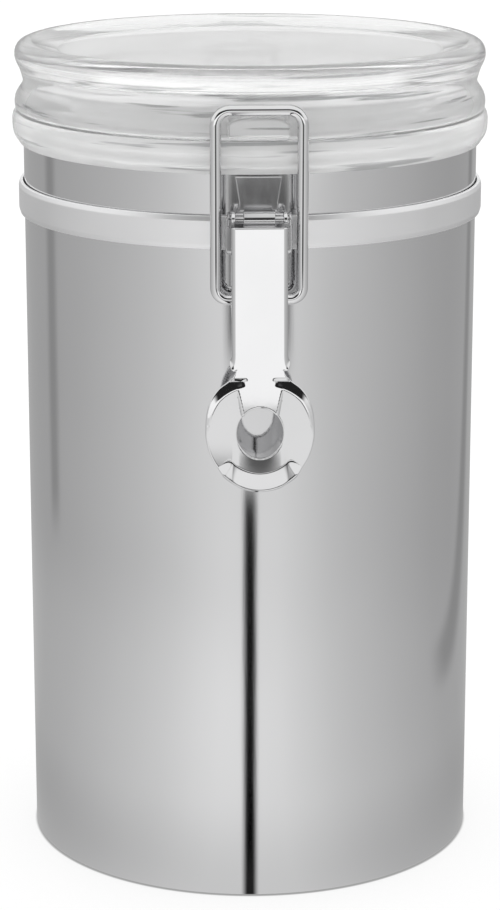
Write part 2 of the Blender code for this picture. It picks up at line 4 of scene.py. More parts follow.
import bmesh
import bpy
import numpy as np
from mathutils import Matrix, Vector


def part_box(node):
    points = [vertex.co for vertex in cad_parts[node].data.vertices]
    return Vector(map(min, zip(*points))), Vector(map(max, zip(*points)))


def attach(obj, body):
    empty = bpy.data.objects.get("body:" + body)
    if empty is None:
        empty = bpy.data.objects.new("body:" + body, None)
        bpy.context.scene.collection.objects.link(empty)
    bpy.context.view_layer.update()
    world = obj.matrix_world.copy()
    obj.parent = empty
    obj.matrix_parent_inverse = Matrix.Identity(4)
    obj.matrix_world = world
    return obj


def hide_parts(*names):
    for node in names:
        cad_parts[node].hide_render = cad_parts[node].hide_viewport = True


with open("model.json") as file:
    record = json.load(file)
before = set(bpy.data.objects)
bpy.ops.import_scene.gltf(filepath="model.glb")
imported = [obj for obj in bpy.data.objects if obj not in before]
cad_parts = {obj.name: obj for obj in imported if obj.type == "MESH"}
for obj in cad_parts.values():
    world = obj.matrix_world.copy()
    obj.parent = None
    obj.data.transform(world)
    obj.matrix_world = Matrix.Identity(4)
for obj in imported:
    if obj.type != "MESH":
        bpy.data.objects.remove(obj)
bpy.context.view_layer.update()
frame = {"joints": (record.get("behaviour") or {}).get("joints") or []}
mm = 0.001
wholeTurn = 2 * math.pi
perRadian = 180 / math.pi
weldWithin = 0.000002  # metres; points closer than this become one
tiny = 1e-9  # keeps divisions away from zero
leastStep = 1e-6  # mm; shorter steps along a line are dropped


# corner rounding: every corner (across, up, radius) that has a radius becomes an arc tangent to both sides,
# with a guard point just before and just after it so that the flats keep their shading
def roundedLine(corners, closed=True, guard=0.06, perTurn=40):
    line = []
    count = len(corners)
    for i, (x, y, radius) in enumerate(corners):
        if radius == 0 or (not closed and i in (0, count - 1)):
            line.append((x, y))
            continue
        corner = Vector((x, y))
        back = (Vector(corners[i - 1][:2]) - corner).normalized()
        ahead = (Vector(corners[(i + 1) % count][:2]) - corner).normalized()
        half = back.angle(ahead) / 2
        turn = math.pi - 2 * half
        centre = corner + (back + ahead).normalized() * (radius / math.sin(half))
        start = corner + back * (radius / math.tan(half))
        side = 1 if back.cross(ahead) < 0 else -1
        steps = max(3, math.ceil(perTurn * turn / wholeTurn))
        angles = side * turn * np.linspace(0, 1, steps + 1)
        arm = start - centre
        xs = centre.x + arm.x * np.cos(angles) - arm.y * np.sin(angles)
        ys = centre.y + arm.x * np.sin(angles) + arm.y * np.cos(angles)
        end = corner + ahead * (radius / math.tan(half))
        line.append(tuple(start + back * guard))
        line.extend(zip(xs, ys))
        line.append(tuple(end + ahead * guard))
    return np.array(line, float)


# distance from a line's start to each of its points, the sum of the steps so far
def lengthsAlong(line):
    return np.concatenate([[0], np.cumsum(np.hypot(*np.diff(line, axis=0).T))])


# share of the way from first to last, with soft ends: its square times 3 less twice itself
def eased(value, first, last):
    share = np.clip((value - first) / (last - first), 0, 1)
    return share**2 * (3 - 2 * share)


# points of a circle round the centre, at those angles
def arcPoints(centre, radius, angles):
    return np.stack([centre[0] + radius * np.cos(angles), centre[1] + radius * np.sin(angles)], axis=1)


# smooth line: a Catmull-Rom curve through the points, so many steps to each span
def smoothLine(points, steps):
    p = np.asarray(points, float)
    p = np.concatenate([[2 * p[0] - p[1]], p, [2 * p[-1] - p[-2]]])
    t = np.linspace(0, 1, steps, endpoint=False)[None, :, None]
    a, b, c, d = (p[i : len(p) - 3 + i, None, :] for i in range(4))
    curve = 0.5 * (2 * b + (c - a) * t + (2 * a - 5 * b + 4 * c - d) * t**2 + (3 * b - a - 3 * c + d) * t**3)
    return np.concatenate([curve.reshape(-1, 2), p[-2:-1]])


# four-sided faces of a grid of points, rows by columns, wrapped round either way
def gridFaces(rows, columns, wrapRows=False, wrapColumns=False):
    index = np.arange(rows * columns).reshape(rows, columns)
    if wrapRows:
        index = np.concatenate([index, index[:1]])
    if wrapColumns:
        index = np.concatenate([index, index[:, :1]], axis=1)
    return np.stack([index[:-1, :-1], index[1:, :-1], index[1:, 1:], index[:-1, 1:]], axis=-1).reshape(-1, 4)


# turned shape: x is the radius times the angle's sine, y minus the radius times its cosine, so angle 0 is the
# latch side
def turnedGrid(section, angles):
    radius, height = section[:, :1], section[:, 1:]
    return np.stack([radius * np.sin(angles), -radius * np.cos(angles), height + 0 * angles], axis=-1)


# that many angles, even steps of a whole turn
def evenAngles(steps):
    return np.linspace(0, wholeTurn, steps, endpoint=False)


# puts points (mm) and faces into a mesh, closes poles and ends, and points every face outwards
def meshOf(name, points, faces, closeEnds=False):
    points = np.reshape(points, (-1, 3)) * mm
    mesh = bpy.data.meshes.new(name)
    mesh.vertices.add(len(points))
    mesh.vertices.foreach_set("co", points.astype(np.float32).ravel())
    faces = np.asarray(faces, np.int32)
    mesh.loops.add(faces.size)
    mesh.loops.foreach_set("vertex_index", faces.ravel())
    mesh.polygons.add(len(faces))
    mesh.polygons.foreach_set("loop_start", np.arange(0, faces.size, 4, dtype=np.int32))
    mesh.update(calc_edges=True)
    work = bmesh.new()
    work.from_mesh(mesh)
    bmesh.ops.remove_doubles(work, verts=work.verts, dist=weldWithin)
    if closeEnds:
        bmesh.ops.holes_fill(work, edges=[edge for edge in work.edges if edge.is_boundary])
    bmesh.ops.recalc_face_normals(work, faces=work.faces)
    work.to_mesh(mesh)
    work.free()
    return mesh


# a closed section turned right round the can's axis
def turnedMesh(name, section, steps):
    return meshOf(name, turnedGrid(section, evenAngles(steps)), gridFaces(len(section), steps, True, True))


# several meshes as one, their surfaces left as they are
def joinedMesh(name, meshes):
    work = bmesh.new()
    for mesh in meshes:
        work.from_mesh(mesh)
    joined = bpy.data.meshes.new(name)
    work.to_mesh(joined)
    work.free()
    return joined


# a new object in the scene, at the origin
def linked(name, data):
    made = bpy.data.objects.new(name, data)
    bpy.context.scene.collection.objects.link(made)
    return made


# a finished piece, smooth except at edges sharper than that many degrees
def addPiece(name, mesh, material, body, stands, sharp=40):
    piece = linked(name, mesh)
    mesh.shade_smooth()
    mesh.set_sharp_from_angle(angle=math.radians(sharp))
    mesh.materials.clear()
    mesh.materials.append(material)
    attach(piece, body)
    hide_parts(*stands)
    print("made", name, len(mesh.polygons), "faces")


# blanks are signed distances in mm, negative inside: here to a box's nearest side, or nearest point
def boxField(x, y, low, high):
    dx = np.maximum(low[0] - x, x - high[0])
    dy = np.maximum(low[1] - y, y - high[1])
    return np.minimum(np.maximum(dx, dy), 0) + np.hypot(np.maximum(dx, 0), np.maximum(dy, 0))


# oval: the root of the summed powers less 1, over that root's slope; a power over 2 squares the half with the
# smaller y
def ovalField(x, y, centre, size, power=2.0):
    u = np.abs(x - centre[0]) / size[0] + tiny
    v = (y - centre[1]) / size[1]
    p = np.where(v < 0, power, 2.0)
    v = np.abs(v) + tiny
    k = (u**p + v**p) ** (1 / p)
    slope = np.hypot((u / k) ** (p - 1) / size[0], (v / k) ** (p - 1) / size[1])
    return (k - 1) / (slope + tiny)


# closed outline: the distance to its nearest side; inside, a line to the right crosses an odd number of sides
def outlineField(x, y, outline):
    best = np.full(np.shape(x), np.inf)
    inside = np.zeros(np.shape(x), bool)
    for (ax, ay), (bx, by) in zip(outline, np.roll(outline, -1, axis=0)):
        ex, ey = bx - ax, by - ay
        t = np.clip(((x - ax) * ex + (y - ay) * ey) / (ex * ex + ey * ey), 0, 1)
        best = np.minimum(best, np.hypot(x - ax - t * ex, y - ay - t * ey))
        if ey:
            inside ^= ((ay > y) != (by > y)) & (x < ex * (y - ay) / ey + ax)
    return np.where(inside, -best, best)


# joins two shapes with a fillet of about that radius: the smaller distance, less a bulge where they are alike
def blended(a, b, radius):
    mix = np.clip(0.5 + 0.5 * (b - a) / radius, 0, 1)
    return b + (a - b) * mix - radius * mix * (1 - mix)


# a sheet's rim: pulls onto the outline, points round its edge, and steps that slopes are taken over
rimWork = {"pulls": 5, "arcPoints": 5, "cellParts": 50, "probe": 0.001}


# sheet metal: the blank's field is sampled on a fine grid, cells inside are kept and their rim is pulled onto
# the outline; the rim then gets a rounded edge from the front face to the back face. centre(a, s) is the bent
# sheet's middle surface, and its normal is the cross product of its slopes
def sheetMesh(name, field, low, high, cell, thickness, edge, centre):
    a = np.arange(low[0], high[0] + cell, cell)
    s = np.arange(low[1], high[1] + cell, cell)
    midA, midS = np.meshgrid(a[:-1] + cell / 2, s[:-1] + cell / 2, indexing="ij")
    keep = field(midA, midS) + edge < 0
    faces = gridFaces(len(a), len(s))[keep.ravel()]
    used, faces = np.unique(faces, return_inverse=True)
    faces = faces.reshape(-1, 4)
    gridA, gridS = np.meshgrid(a, s, indexing="ij")
    pa, ps = gridA.ravel()[used], gridS.ravel()[used]
    sides = np.concatenate([faces[:, [i, (i + 1) % 4]] for i in range(4)])
    key, count = np.unique(np.sort(sides, axis=1), axis=0, return_counts=True)
    lone = {tuple(pair) for pair in key[count == 1]}
    rimSides = np.array([pair for pair in sides if tuple(sorted(pair)) in lone])
    rim = np.unique(rimSides)
    slot = np.full(len(pa), -1)
    slot[rim] = np.arange(len(rim))
    step = cell / rimWork["cellParts"]

    def slope(x, y):
        gx = (field(x + step, y) - field(x - step, y)) / (2 * step)
        gy = (field(x, y + step) - field(x, y - step)) / (2 * step)
        size = np.hypot(gx, gy) + tiny
        return gx / size, gy / size

    for _ in range(rimWork["pulls"]):
        gx, gy = slope(pa[rim], ps[rim])
        distance = field(pa[rim], ps[rim]) + edge
        pa[rim] -= distance * gx
        ps[rim] -= distance * gy
    gx, gy = slope(pa[rim], ps[rim])
    half = thickness / 2
    turn = np.linspace(0, math.pi / 2, rimWork["arcPoints"])
    out = np.concatenate([np.sin(turn), np.sin(turn)[::-1]]) * edge
    lift = np.concatenate([half - edge + np.cos(turn) * edge, edge - half - np.cos(turn)[::-1] * edge])

    def placed(x, y, height):
        probe = rimWork["probe"]
        slopeA = centre(x + probe, y) - centre(x - probe, y)
        slopeS = centre(x, y + probe) - centre(x, y - probe)
        normal = np.cross(slopeA, slopeS)
        return centre(x, y) + normal / np.linalg.norm(normal, axis=1, keepdims=True) * height

    rings = [placed(pa[rim] + gx * o, ps[rim] + gy * o, h) for o, h in zip(out[1:-1], lift[1:-1])]
    total = len(pa)
    between = [2 * total + i * len(rim) + np.arange(len(rim)) for i in range(len(rings))]
    layers = [rim, *between, total + rim]
    first, second = slot[rimSides[:, 0]], slot[rimSides[:, 1]]
    ringFaces = [
        np.stack([one[first], two[first], two[second], one[second]], axis=1)
        for one, two in zip(layers[:-1], layers[1:])
    ]
    points = np.concatenate([placed(pa, ps, half), placed(pa, ps, -half), *rings])
    return meshOf(name, points, np.concatenate([faces, faces[:, ::-1] + total, *ringFaces]))


# side path of a bent sheet: a rounded line, whose points are found by the distance along it
class SidePath:
    def __init__(self, corners, perTurn=120):
        line = roundedLine(corners, closed=False, perTurn=perTurn)
        moved = np.diff(lengthsAlong(line)) > leastStep
        self.line = line[np.concatenate([[True], moved])]
        self.distance = lengthsAlong(self.line)
        self.length = self.distance[-1]

    def at(self, s):
        return tuple(np.interp(s, self.distance, self.line[:, i]) for i in (0, 1))

    # how far along the path first comes down to that height
    def nearest(self, up):
        return float(np.interp(-up, -self.line[:, 1], self.distance))


# a node's socket with operators, so that sums in the shader read as sums
class Term:
    def __init__(self, graph, socket):
        self.graph = graph
        self.socket = socket

    def __add__(self, other):
        return self.graph.maths("ADD", self, other)

    def __radd__(self, other):
        return self.graph.maths("ADD", other, self)

    def __sub__(self, other):
        return self.graph.maths("SUBTRACT", self, other)

    def __rsub__(self, other):
        return self.graph.maths("SUBTRACT", other, self)

    def __mul__(self, other):
        return self.graph.maths("MULTIPLY", self, other)

    def __rmul__(self, other):
        return self.graph.maths("MULTIPLY", other, self)

    def __truediv__(self, other):
        return self.graph.maths("DIVIDE", self, other)

    def __rtruediv__(self, other):
        return self.graph.maths("DIVIDE", other, self)

    def __abs__(self):
        return self.graph.maths("ABSOLUTE", self)

    # from low to high as the value goes from start to end, with soft ends
    def within(self, start, end, low=0.0, high=1.0):
        return self.graph.term(
            "ShaderNodeMapRange",
            {"interpolation_type": "SMOOTHSTEP"},
            {"Value": self, "From Min": start, "From Max": end, "To Min": low, "To Max": high},
        )

    def until(self, start, end):
        return self.within(start, end, 1.0, 0.0)


# a material's or world's node tree
class Graph:
    def __init__(self, tree):
        self.tree = tree
        tree.nodes.clear()

    # the one way to any node: its settings first, then its values, each a number, a colour or a Term
    def node(self, kind, settings=None, values=None):
        made = self.tree.nodes.new(kind)
        for name, value in (settings or {}).items():
            if name == "stops":
                ramp = made.color_ramp
                for i, (place, colour) in enumerate(value):
                    stop = ramp.elements[i] if i < 2 else ramp.elements.new(place)
                    stop.position = place
                    stop.color = (*colour, 1.0)
            else:
                setattr(made, name, value)
        for name, value in (values or {}).items():
            if isinstance(value, Term):
                self.tree.links.new(value.socket, made.inputs[name])
            else:
                made.inputs[name].default_value = value
        return made

    def term(self, kind, settings=None, values=None, output=0):
        return Term(self, self.node(kind, settings, values).outputs[output])

    def maths(self, operation, *terms):
        return self.term("ShaderNodeMath", {"operation": operation}, dict(enumerate(terms)))

    # x, y and z of a vector
    def axes(self, vector):
        outputs = self.node("ShaderNodeSeparateXYZ", None, {0: vector}).outputs
        return [Term(self, output) for output in outputs]

    def noise(self, where, scale, detail, roughness=0.5):
        values = {"Vector": where, "Scale": scale, "Detail": detail, "Roughness": roughness}
        return self.term("ShaderNodeTexNoise", None, values)

    def stretched(self, where, scale):
        return self.term("ShaderNodeMapping", None, {"Vector": where, "Scale": scale})

    def bump(self, look, height):
        values = {"Strength": look["bump"], "Distance": look["bumpDepth"], "Height": height}
        return self.term("ShaderNodeBump", None, values)

    # two colours mixed by a factor, each a Term or three numbers
    def mixed(self, factor, first, second):
        colours = [value if isinstance(value, Term) else (*value, 1.0) for value in (first, second)]
        values = {0: factor, 6: colours[0], 7: colours[1]}
        return self.term("ShaderNodeMix", {"data_type": "RGBA"}, values, 2)

    def surface(self, shader):
        self.node("ShaderNodeOutputMaterial", None, {"Surface": shader})


def newGraph(name):
    material = bpy.data.materials.new(name)
    material.use_nodes = True
    return material, Graph(material.node_tree)


# where noise turns into tone: clouds on metal, haze in plastic, and how the haze varies the milkiness
cloudSoft = (0.3, 0.7)
hazeSoft = (0.35, 0.65)
hazeMilky = (0.2, 0.6, 0.9, 1.1)
milkyRough = 0.1


# polished metal with a fine grain and faint clouds; the can is satin inside its walls and above its floor,
# with a paler painted tone there that stands in for light inside the can
def polishedMetal(name, look):
    material, graph = newGraph(name)
    where = graph.term("ShaderNodeTexCoord", output=3)
    grain = graph.noise(graph.stretched(where, look["grainScale"]), 1.0, 4.0, 0.6)
    cloud = graph.noise(where, look["cloudScale"], 2.0)
    tone = graph.mixed(cloud.within(*cloudSoft), look["dark"], look["light"])
    rough = look["rough"] + (grain - 0.5) * look["roughSpread"] + (cloud - 0.5) * look["roughSpread"]
    metal = 1.0
    if "satinWithin" in look:
        x, y, z = graph.axes(where)
        inside = graph.maths("LESS_THAN", x * x + y * y, (look["satinWithin"] * mm) ** 2)
        inside = inside * graph.maths("GREATER_THAN", z, look["satinAbove"] * mm)
        # inside: a real satin finish, and a paler painted tone that stands in for light inside the can
        tone = graph.mixed(inside, tone, look["satinPaintedLightTone"])
        rough = rough + inside * look["satinRough"]
        metal = 1.0 - inside * look["satinMatte"]
    values = {"Base Color": tone, "Metallic": metal, "Roughness": rough, "Normal": graph.bump(look, grain)}
    graph.surface(graph.term("ShaderNodeBsdfPrincipled", None, values))
    return material


# clear above, milkier towards the thick lower walls, with painted dark reflections streaked round those walls
def clearPlastic(name, look):
    material, graph = newGraph(name)
    where = graph.term("ShaderNodeTexCoord", output=3)
    wave = graph.noise(where, look["waveScale"], 2.0)
    haze = graph.noise(where, look["hazeScale"], 3.0)
    height = graph.axes(where)[2]
    low, high = look["milkyHeights"]
    lower = height.within(low * mm, high * mm, 1.0, 0.0)
    # painted dark reflections: long dark streaks run round the lower walls, none on flat faces; the streak
    # noise also gives a bump
    streakNoise = graph.noise(graph.stretched(where, look["streakNoiseScale"]), 1.0, 2.0)
    facing = graph.axes(graph.term("ShaderNodeTexCoord", output=1))[2]
    upright = abs(facing).until(*look["paintedReflectionFacing"])
    first, last = look["paintedReflectionTop"]
    paintedReflectionBelow = height.within(first * mm, last * mm, look["paintedReflectionDark"], 0.0)
    # the painted dark reflection: streaks on the upright faces of the lower walls
    line = streakNoise.within(*look["paintedReflectionWidth"]) * paintedReflectionBelow * upright
    tone = graph.mixed(haze.within(*hazeSoft), look["tint"], look["pale"])
    tone = graph.mixed(line, tone, look["paintedReflectionTone"])
    bump = graph.bump(look, wave + streakNoise * lower * look["streakBump"])
    rough = look["rough"] + haze * look["roughSpread"]
    shared = {"Base Color": tone, "IOR": look["ior"], "Normal": bump}
    values = {**shared, "Roughness": rough, "Transmission Weight": look["clear"]}
    clear = graph.term("ShaderNodeBsdfPrincipled", None, values)
    milky = graph.term("ShaderNodeBsdfPrincipled", None, {**shared, "Roughness": milkyRough})
    factor = lower * look["milky"] * haze.within(*hazeMilky)
    graph.surface(graph.term("ShaderNodeMixShader", None, {0: factor, 1: clear, 2: milky}))
    return material


canLook = {
    "dark": (0.655, 0.655, 0.66), "light": (0.675, 0.675, 0.68), "rough": 0.075, "roughSpread": 0.02,
    "grainScale": (900.0, 900.0, 60.0), "cloudScale": 18.0, "bump": 0.02, "bumpDepth": 0.0002,
    "satinWithin": 56.7, "satinPaintedLightTone": (0.95, 0.95, 0.95), "satinMatte": 0.55, "satinRough": 0.5,
    "satinAbove": 0.3,
}
bandLook = {
    "dark": (0.925, 0.925, 0.93), "light": (0.955, 0.955, 0.96), "rough": 0.42, "roughSpread": 0.05,
    "grainScale": (60.0, 60.0, 900.0), "cloudScale": 40.0, "bump": 0.02, "bumpDepth": 0.0001,
}
fittingLook = {
    "dark": (0.40, 0.40, 0.405), "light": (0.68, 0.68, 0.685), "rough": 0.13, "roughSpread": 0.06,
    "grainScale": (700.0, 700.0, 200.0), "cloudScale": 60.0, "bump": 0.02, "bumpDepth": 0.0001,
}
chromeLook = {
    "dark": (0.72, 0.72, 0.725), "light": (0.74, 0.74, 0.745), "rough": 0.035, "roughSpread": 0.02,
    "grainScale": (300.0, 300.0, 300.0), "cloudScale": 80.0, "bump": 0.01, "bumpDepth": 0.0001,
}
acrylicLook = {
    "tint": (0.996, 0.998, 0.998), "pale": (0.999, 1.0, 1.0), "rough": 0.0, "roughSpread": 0.012,
    "ior": 1.49, "clear": 0.86, "milky": 0.2, "milkyHeights": (197.0, 204.0), "paintedReflectionTop": (204.8, 206.0),
    "streakNoiseScale": (30.0, 30.0, 760.0), "paintedReflectionWidth": (0.60, 0.68), "paintedReflectionFacing": (0.8, 0.95),
    "paintedReflectionDark": 0.85, "paintedReflectionTone": (0.40, 0.41, 0.41), "streakBump": 1.0, "waveScale": 30.0,
    "hazeScale": 25.0, "bump": 0.05, "bumpDepth": 0.0003,
}
# the collar ring is a little milkier than the lid, its painted dark reflection streaks fainter
collarLook = {**acrylicLook, "milky": 0.34, "paintedReflectionDark": 0.65}
# the gasket gets the same painted dark reflection streaks, only faint
siliconeLook = {
    "tint": (0.96, 0.97, 0.97), "pale": (0.985, 0.99, 0.99), "rough": 0.28, "roughSpread": 0.10,
    "ior": 1.42, "clear": 0.75, "waveScale": 200.0, "hazeScale": 40.0, "bump": 0.1, "bumpDepth": 0.0002,
    "milky": 0.3, "milkyHeights": (300.0, 310.0), "paintedReflectionTop": (300.0, 310.0),
    "streakNoiseScale": (22.0, 22.0, 620.0), "paintedReflectionWidth": (0.6, 0.7), "paintedReflectionFacing": (0.8, 0.95),
    "paintedReflectionDark": 0.1, "paintedReflectionTone": (0.8, 0.8, 0.8), "streakBump": 0.2,
}
canSteel = polishedMetal("canSteel", canLook)
bandSteel = polishedMetal("bandSteel", bandLook)
fittingSteel = polishedMetal("fittingSteel", fittingLook)
brightSteel = polishedMetal("brightSteel", chromeLook)
clearAcrylic = clearPlastic("clearAcrylic", acrylicLook)
collarAcrylic = clearPlastic("collarAcrylic", collarLook)
softSilicone = clearPlastic("softSilicone", siliconeLook)
print("materials ready")

# places read from the frame, in mm; a pair is (u, height), with u the distance in front of the can's axis
jointPlaces = {joint["name"]: [value / mm for value in joint["pos_m"]] for joint in frame["joints"]}


def boxOf(node):
    low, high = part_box(node)
    return [value / mm for value in low], [value / mm for value in high]


canHigh = boxOf("can_body")[1]
collarLow, collarHigh = boxOf("collar_ring")
lidLow, lidHigh = boxOf("lid")
bandLow, bandHigh = boxOf("clamp_band")
bailHigh = boxOf("bail")[1]
leverPivot = (-jointPlaces["lever_swing"][1], jointPlaces["lever_swing"][2])
bailPivot = (-jointPlaces["bail_swing"][1], jointPlaces["bail_swing"][2])
lidPivot = (jointPlaces["lid_hinge"][1], jointPlaces["lid_hinge"][2])  # u is behind the axis here
canRadius = canHigh[0]
canTop = canHigh[2]
collarRadius = collarHigh[0]
seatGap = 0.3

# the can: a thin shell with a bead pressed round its floor
can = {
    "wall": 0.6, "footRadius": 0.8, "rimRound": 0.25, "beadRadius": 46.5, "beadWidth": 3.0,
    "beadHeight": 0.8, "beadRound": 0.7, "guard": 0.05, "roundSteps": 64, "steps": 320,
}


# down the wall's outside, in along the floor's underside and back along the inside
def canMesh():
    wall, foot = can["wall"], can["footRadius"]
    inner = canRadius - wall
    beadOut = can["beadRadius"] + can["beadWidth"] / 2
    beadIn = can["beadRadius"] - can["beadWidth"] / 2
    lift, soft = can["beadHeight"], can["beadRound"]
    corners = [
        (inner, canTop, can["rimRound"]), (canRadius, canTop, can["rimRound"]), (canRadius, 0, foot),
        (beadOut, 0, soft), (beadOut - lift, lift, soft), (beadIn + lift, lift, soft),
        (beadIn, 0, soft), (0, 0, 0), (0, wall, 0), (beadIn, wall, soft),
        (beadIn + lift, wall + lift, soft / 2), (beadOut - lift, wall + lift, soft / 2),
        (beadOut, wall, soft), (inner, wall, foot - wall),
    ]
    section = roundedLine(corners, guard=can["guard"], perTurn=can["roundSteps"])
    return turnedMesh("canBody", section, can["steps"])


addPiece("canBody", canMesh(), canSteel, "can", ("can_body",))

# the clear collar
collar = {
    "lipDepth": 1.2, "lipWall": 0.6, "skirtWall": 1.5, "softEdge": 0.35, "sideSteps": 6, "steps": 320,
}
# shares of the way out from the lip to the bulge, and of the height, read up the side
collarShares = (
    (0.0, 0.0), (0.33, 0.115), (0.72, 0.256), (0.92, 0.41),
    (1.0, 0.615), (1.0, 0.744), (0.86, 0.91), (0.56, 1.0),
)


# a smooth outside from the shares, then flats round the mouth, down the skirt and under the lip
def collarMesh():
    bottom = canTop - collar["lipDepth"]
    height = collarHigh[2] - bottom
    lip = canRadius + seatGap + collar["lipWall"]
    shares = smoothLine(collarShares, collar["sideSteps"])
    reach = lip + (collarRadius - lip) * shares[:, 0].clip(0, 1)
    side = np.stack([reach, bottom + height * shares[:, 1]], axis=1)
    skirt = canRadius - can["wall"] - seatGap
    bore = skirt - collar["skirtWall"]
    soft = collar["softEdge"]
    rest = roundedLine(
        [
            (side[-1][0], side[-1][1], 0), (bore, collarHigh[2], soft * 2), (bore, collarLow[2], soft),
            (skirt, collarLow[2], soft), (skirt, canTop + seatGap, soft / 3),
            (canRadius + seatGap, canTop + seatGap, soft / 3), (canRadius + seatGap, bottom, soft / 3),
            (side[0][0], side[0][1], 0),
        ],
        closed=False,
    )
    return turnedMesh("collarRing", np.concatenate([side, rest[1:-1]]), collar["steps"])


addPiece("collarRing", collarMesh(), collarAcrylic, "can", ("collar_ring",))

# the clear lid, with its catch lug in front and its hinge lug behind
lid = {
    "footSetback": 0.7, "flangeSetback": 0.83, "neckSetback": 2.8, "rimRound": 2.7, "rimWidth": 1.6,
    "recessEdge": 6.4, "recessDepth": 2.3, "plate": 2.7, "plugClearance": 1.6, "plugWall": 4.0,
    "plugDepth": 4.5, "grooveDrop": 0.5, "grooveHeight": 3.0, "grooveDepth": 1.2, "softEdge": 0.4,
    "sideSteps": 7, "topRoundSteps": 160, "coarseSteps": 240,
    "catchSpan": math.radians(10),  # columns are finer this far to each side of the latch
    "catchSteps": 141,
    "catchShare": 0.40,  # how much of the lid's height the lug's rows cover
    "catchHalfWidth": 6.6, "catchSide": 0.7, "catchFade": 7, "catchLeast": 0.002, "catchRise": 5.6,
    "catchCrown": 1.3, "catchRoot": (0.1, 0.5), "catchEdge": 0.7, "catchChin": (1.3, 0.6),
    "catchFoot": (0.2, 0.35, 0.2), "catchRoundSteps": 60, "lugRadius": 3.2, "lugHalfWidth": 5.8,
    "lugBore": 1.65, "lugRoot": 2.0, "lugLow": 1.2, "lugHigh": 0.6, "lugSoft": 0.5, "lugSteps": 33,
    "boreSoft": 0.01, "boreOver": 1.0, "boreSteps": 40,
}
# shares of the way out from the neck, and of the lid's height
lidFootShares = (
    (0.62, 0.0), (0.905, 0.024), (1.0, 0.076), (1.0, 0.135),
    (0.88, 0.206), (0.62, 0.27), (0.286, 0.33), (0.05, 0.382),
)
lidFlangeShares = (
    (0.0, 0.424), (0.075, 0.47), (0.23, 0.535), (0.43, 0.606), (0.685, 0.67),
    (0.89, 0.724), (1.0, 0.788), (0.94, 0.865), (0.71, 0.924), (0.305, 0.97),
)
lidBottom = collarHigh[2] + seatGap
lidTop = lidHigh[2]
catchFront = -lidLow[1]
catchTop = lidBottom + lid["catchRise"]
plugRadius = canRadius - can["wall"] - seatGap - collar["skirtWall"] - lid["plugClearance"]


# the turned lid's section: the recessed top, the side from the shares, and the plug with its groove
def lidSection():
    height = lidTop - lidBottom
    flange = collarRadius - lid["flangeSetback"]
    foot = collarRadius - lid["footSetback"]
    neck = collarRadius - lid["neckSetback"]
    lower = np.array([(neck + (foot - neck) * out, lidBottom + height * up) for out, up in lidFootShares])
    upper = np.array([(neck + (flange - neck) * out, lidBottom + height * up) for out, up in lidFlangeShares])
    rimOut = flange - lid["rimRound"]
    side = smoothLine(np.concatenate([lower, upper, [(rimOut, lidTop)]]), lid["sideSteps"])[::-1]
    rimIn = rimOut - lid["rimWidth"]
    recess = rimIn - lid["recessEdge"]
    floor = lidTop - lid["recessDepth"]
    plug, plugLow = plugRadius, lidBottom - lid["plugDepth"]
    hollow = plug - lid["plugWall"]
    grooveHigh = lidBottom - lid["grooveDrop"]
    grooveLow = grooveHigh - lid["grooveHeight"]
    grooveIn = plug - lid["grooveDepth"]
    roof = floor - lid["plate"]
    soft = lid["softEdge"]
    top = roundedLine(
        [(0, floor, 0), (recess, floor, soft * 4), (rimIn, lidTop - soft / 4, soft * 4), (rimOut, lidTop, 0)],
        closed=False,
        perTurn=lid["topRoundSteps"],
    )
    under = roundedLine(
        [
            (*side[-1], 0), (plug, lidBottom, soft), (plug, grooveHigh, soft / 3),
            (grooveIn, grooveHigh, soft / 3), (grooveIn, grooveLow, soft / 3),
            (plug, grooveLow, soft / 3), (plug, plugLow, soft), (hollow, plugLow, soft),
            (hollow, roof, soft * 4), (0, roof, 0),
        ],
        closed=False,
    )
    section = np.concatenate([top[:-1], side, under[1:]])
    return section, len(top) - 1, len(side)


# the catch lug: rows of the lid's side from neck to foot are laid over a ledge and a front face, by a weight,
# 1 over 1 plus e to the distance beyond the lug's side; the ledge falls off by the distance's fourth power
def lidMesh():
    section, sideStart, sideCount = lidSection()
    span, half, side = lid["catchSpan"], lid["catchHalfWidth"], lid["catchSide"]
    fine = np.linspace(-span, span, lid["catchSteps"])
    coarse = np.linspace(span, wholeTurn - span, lid["coarseSteps"])[1:-1]
    angles = np.concatenate([fine, coarse])
    grid = turnedGrid(section, angles)
    rows = np.arange(sideStart, sideStart + sideCount)
    rows = rows[section[rows, 1] <= lidBottom + lid["catchShare"] * (lidTop - lidBottom)]
    start, end = section[rows[0]], section[rows[-1]]
    way = lengthsAlong(section[rows])
    way /= way[-1]
    across = np.abs(grid[rows[len(rows) // 2], : len(fine), 0])
    weight = 1 / (1 + np.exp((across - half - side / 2) / (side / lid["catchFade"])))
    crown = catchTop - (across / half) ** 4 * lid["catchCrown"]
    root, chin, foot = lid["catchRoot"], lid["catchChin"], lid["catchFoot"]
    for column, (angle, mix, high) in enumerate(zip(fine, weight, crown)):
        if mix < lid["catchLeast"]:
            continue
        front = catchFront / math.cos(angle)
        lug = SidePath(
            [
                (*start, 0), (start[0] + root[0], high, root[1]), (front, high, lid["catchEdge"]),
                (front, lidBottom + chin[0], chin[1]), (end[0] + foot[0], lidBottom + foot[1], foot[2]),
                (*end, 0),
            ],
            perTurn=lid["catchRoundSteps"],
        )
        radius, up = lug.at(way * lug.length)
        radius = radius * mix + section[rows, 0] * (1 - mix)
        grid[rows, column, 0] = radius * math.sin(angle)
        grid[rows, column, 1] = -radius * math.cos(angle)
        grid[rows, column, 2] = up * mix + section[rows, 1] * (1 - mix)
    shell = meshOf("clearLid", grid, gridFaces(len(section), len(angles), wrapColumns=True))
    return joinedSolid("clearLid", shell, [(hingeLugMesh(), "UNION"), (hingeBoreMesh(), "DIFFERENCE")])


